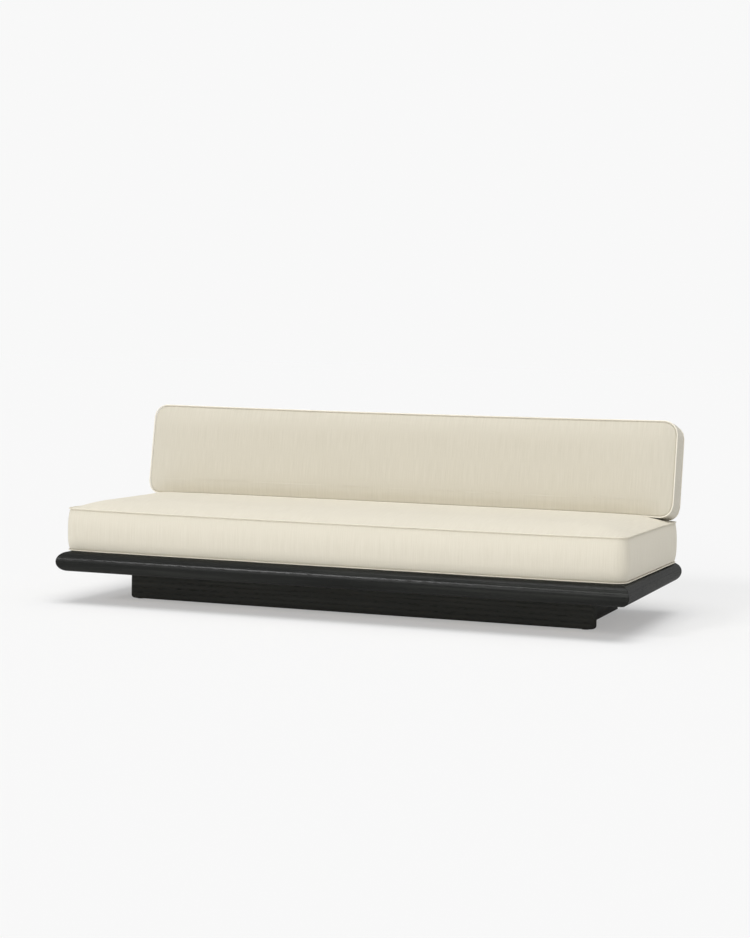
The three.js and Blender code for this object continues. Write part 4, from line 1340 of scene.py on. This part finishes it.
def twill_ribs(tree):
    """Cotton twill tape and nylon coil, both dyed cream: close fine ribs and a dull surface. The
    ribs are drawn 1.5 mm apart."""
    rib = 0.0015
    place = add_node(tree, "TexCoord").outputs["Object"]
    slanted = add_node(tree, "Mapping", {
        "Vector": place, "Rotation": (0, math.radians(45), 0)}).outputs["Vector"]
    return add_node(tree, "TexWave", {
        "Vector": slanted, "Scale": band_scale(rib), "Distortion": 0.5}).outputs["Fac"]


cream_tape = patterned("cotton twill tape", twill_ribs, [(0.1, "#bdb5a1"), (0.8, "#d8d1bf")],
                       raised=(0.4, 0.0004), Roughness=0.8, Sheen_Weight=0.1)
add_zip("seat", Matrix.Translation((0, zip_box[0].y + tape_thickness, seat_zip_z)))

# Back cushion
# A slimmer boxed cushion of the same linen: its front panel is crowned, its long upper seam is
# drawn in between the corners, and its rear panel lies flat against the back board.

back_half = Vector((1.087, 0.179))
back_radius = 0.052
back_thickness = 0.128
back_crown = 0.013
back_crown_width = 0.092
back_draw_in = 0.005
back_end_sag = 0.009
back_bulge = 0.005
back_lower_bulge = 0.002
back_swell = 0.003
still_foot = 0.004
foot_fade = 0.03
tape_margin = 0.003
tape_inset = 0.0035
loop_back = hook_back - strip_thickness - bar_clearance
back_plane = loop_back - strip_thickness - bar_clearance
resting_gap = 0.0005


class BackCushion(Cushion):
    def bulge(self, out_y):
        return blend_between(back_bulge, back_lower_bulge, np.maximum(-out_y, 0))

    def draw(self, x, y):
        drawn = back_draw_in / self.half.y * (1 - (x / self.half.x) ** 2)
        sagged = back_end_sag / self.half.y * (x / self.half.x) ** 10
        return x, y * (1 - np.where(y > 0, drawn, -sagged))


def resting_height():
    """How high up the lean the back cushion's lower seam lies when it rests on the seat."""
    heights = []
    for step in range(41):
        y = seat_half.y - seam_bevel - seat_rear_press * step / 40
        spot = leaning.inverted() @ Vector((0, y + seat_centre_y, float(seat.top(0.0, y))))
        if spot.y > back_plane - back_thickness - piping_radius:
            heights.append(spot.z)
    return max(heights) + piping_radius + resting_gap


back = BackCushion(back_half, back_radius, 0.0, back_thickness, back_crown, (back_crown_width,) * 3)
back_middle = Vector((0, back_plane - piping_radius, resting_height() + back_half.y))
back_place = leaning @ Matrix.Translation(back_middle) @ Matrix.Rotation(math.pi / 2, 4, "X")
back_zip_y = rest_width + tape_margin + zip_tape_width / 2 + tape_margin - back_half.y
zip_lines = [back_zip_y + step for step in slot_steps]
points, faces, corners, held, back_seam = cushion_skin(back, border_shares, zip_lines)
resting = np.clip((points[:, 1] + back_half.y - still_foot) / foot_fade, 0, 1)
points = stuffed(points, faces, held, back_swell, resting)
tape_face = -piping_radius + tape_inset
points[in_slot(points, points[:, 2] < 0, 1, back_zip_y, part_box("back_zip")), 2] = (
    tape_face + tape_thickness + slot_wall)

# The same cloth, a shade darker: painted shade, as the back's cover looks in the photograph.
linen_with_painted_shade = slub_linen("slub linen with painted shade", "#d2ccbd", "#c5bfae")
cover = cloth_mesh("linen_back_cover", points, faces, corners, back_place)
gathered(cover, back, back_place, gather=0.0006, unevenness=0.0007, seed=21,
         shows=lambda x, y, z: (z > resting_edge) * np.clip((y + back_half.y) / foot_fade, 0, 1))
back_cover = add_piece("linen_back_cover", cover, linen_with_painted_shade, "back_cushion", "cream_linen",
                       "back_cover", "back_foam_core")

# Back piping
# The same bias-cut cord in the seams round the front and the rear panel. Its linen is painted
# paler: painted light, for the light the cord catches along the seams.

piping_linen_painted_light = slub_linen("bias-cut linen with painted light", "#f3eee1", "#e8e2d2", piping_thread,
                               math.pi / 4)
add_piping("back", ("front", "rear"), back, back_seam, back_place, 17, piping_linen_painted_light)

# Back zip
# The same coil zip, low in the rear panel under the board, with its own slider.

add_zip("back", back_place @ Matrix.Translation((0, back_zip_y, tape_face))
        @ Matrix.Rotation(-math.pi / 2, 4, "X"))

# Loop strip
# A cream loop tape sewn along the rear panel, level with the hook strip on the board.


def loop_nap(tree):
    """Nylon loop tape dyed cream: a napped face of tangled loops, soft and without gloss."""
    loop_width = 0.0016
    place = add_node(tree, "Attribute", attribute_name="timber").outputs["Vector"]
    return add_node(tree, "TexNoise", {
        "Vector": place, "Scale": 1 / loop_width, "Detail": 3.0}).outputs["Fac"]


loop_finish = patterned("nylon loop tape", loop_nap, [(0.3, "#bcb5a3"), (0.7, "#dad4c4")],
                        raised=(0.7, 0.0008), Roughness=0.95, Sheen_Weight=0.3)
loop_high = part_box("loop_strip")[1]
add_piece("nylon_loop_strip", tape_strip("nylon_loop_strip", loop_high.x, loop_back), loop_finish,
          "back_cushion", "cream_tape", "loop_strip")

# Studio
# A plain pale floor that runs out of sight under an even sky, two soft lamps low in front and one
# overhead, which together light a face about as its colour is written. The camera stands right of
# the middle, a metre up and 7 m away.

sky_level = 0.38
page_level = 0.94
shadow_lift = 0.35
floor_bounce = 0.93
# Strength, then in degrees the bearing from the front to the left, the height and the spread.
lamps = {
    "low_front": (0.66, 8, 12, 40),
    "strip_front": (0.72, 26, 29, 12),
    "overhead": (1.66, -30, 82, 45)}

floor_light = sky_level
for name, (strength, bearing, height, spread) in lamps.items():
    lamp = bpy.data.lights.new(name, "SUN")
    lamp.energy = strength
    lamp.angle = math.radians(spread)
    away, raised = math.radians(bearing), math.radians(height)
    towards = Vector((-math.sin(away) * math.cos(raised), -math.cos(away) * math.cos(raised),
                      math.sin(raised)))
    put_in_scene(name, lamp).rotation_euler = towards.to_track_quat("Z", "Y").to_euler()
    floor_light += strength / math.pi * math.sin(raised)


def shown_or_lighting(tree, shown, lighting):
    """One level where an eye sees the thing, also in gloss or through glass, and another where it
    only lights the rest."""
    path = add_node(tree, "LightPath").outputs
    gloss = add_node(tree, "Math", {
        0: path["Is Camera Ray"], 1: path["Is Glossy Ray"]}, operation="MAXIMUM")
    seen = add_node(tree, "Math", {
        0: gloss.outputs[0], 1: path["Is Transmission Ray"]}, operation="MAXIMUM")
    return add_node(tree, "MapRange", {
        "Value": seen.outputs[0], "To Min": lighting, "To Max": shown}).outputs["Result"]


def pale_floor():
    """Matt and pale. Where it is seen, a little glow of its own lightens the shadow."""
    material = bpy.data.materials.new("pale studio floor")
    tree = emptied_tree(material)
    lit_share = (1 - shadow_lift) * page_level / floor_light
    shade = shown_or_lighting(tree, lit_share, floor_bounce)
    diffuse = add_node(tree, "BsdfDiffuse", {"Color": shade}).outputs["BSDF"]
    glow = add_node(tree, "Emission", {
        "Strength": shown_or_lighting(tree, shadow_lift * page_level, 0.0)}).outputs["Emission"]
    both = add_node(tree, "AddShader", {0: diffuse, 1: glow}).outputs["Shader"]
    add_node(tree, "OutputMaterial", {"Surface": both})
    return material


floor_reach = 90
floor_gap = 0.0001
floor_mesh = bpy.data.meshes.new("studio_floor")
floor_mesh.from_pydata([(x * floor_reach, y * floor_reach, -floor_gap)
                        for x, y in square_corners], [], [(0, 1, 2, 3)])
floor_mesh.materials.append(pale_floor())
put_in_scene("studio_floor", floor_mesh)

sky = bpy.data.worlds.new("pale sky")
sky_tree = emptied_tree(sky)
level = shown_or_lighting(sky_tree, page_level, sky_level)
light = add_node(sky_tree, "Background", {"Color": "#ffffff", "Strength": level})
add_node(sky_tree, "OutputWorld", {"Surface": light.outputs["Background"]})
bpy.context.scene.world = sky

camera_spot = (2.54939, -6.97287, 0.99446)
camera = bpy.data.cameras.new("camera")
camera.sensor_fit = "VERTICAL"
camera.sensor_height = 24
camera.lens = 50.18
camera.clip_end = 300
camera_stand = put_in_scene("camera", camera)
yaw, pitch, roll = math.radians(20.08), math.radians(3.61), math.radians(1.14)
ahead = Vector((-math.sin(yaw) * math.cos(pitch), math.cos(yaw) * math.cos(pitch),
                -math.sin(pitch)))
level_right = Vector((math.cos(yaw), math.sin(yaw), 0))
level_up = level_right.cross(ahead)
right = level_right * math.cos(roll) + level_up * math.sin(roll)
up = level_up * math.cos(roll) - level_right * math.sin(roll)
turned = Matrix((right, up, -ahead)).transposed().to_4x4()
camera_stand.matrix_world = Matrix.Translation(camera_spot) @ turned
bpy.context.scene.camera = camera_stand
bpy.context.scene.view_settings.view_transform = "Standard"
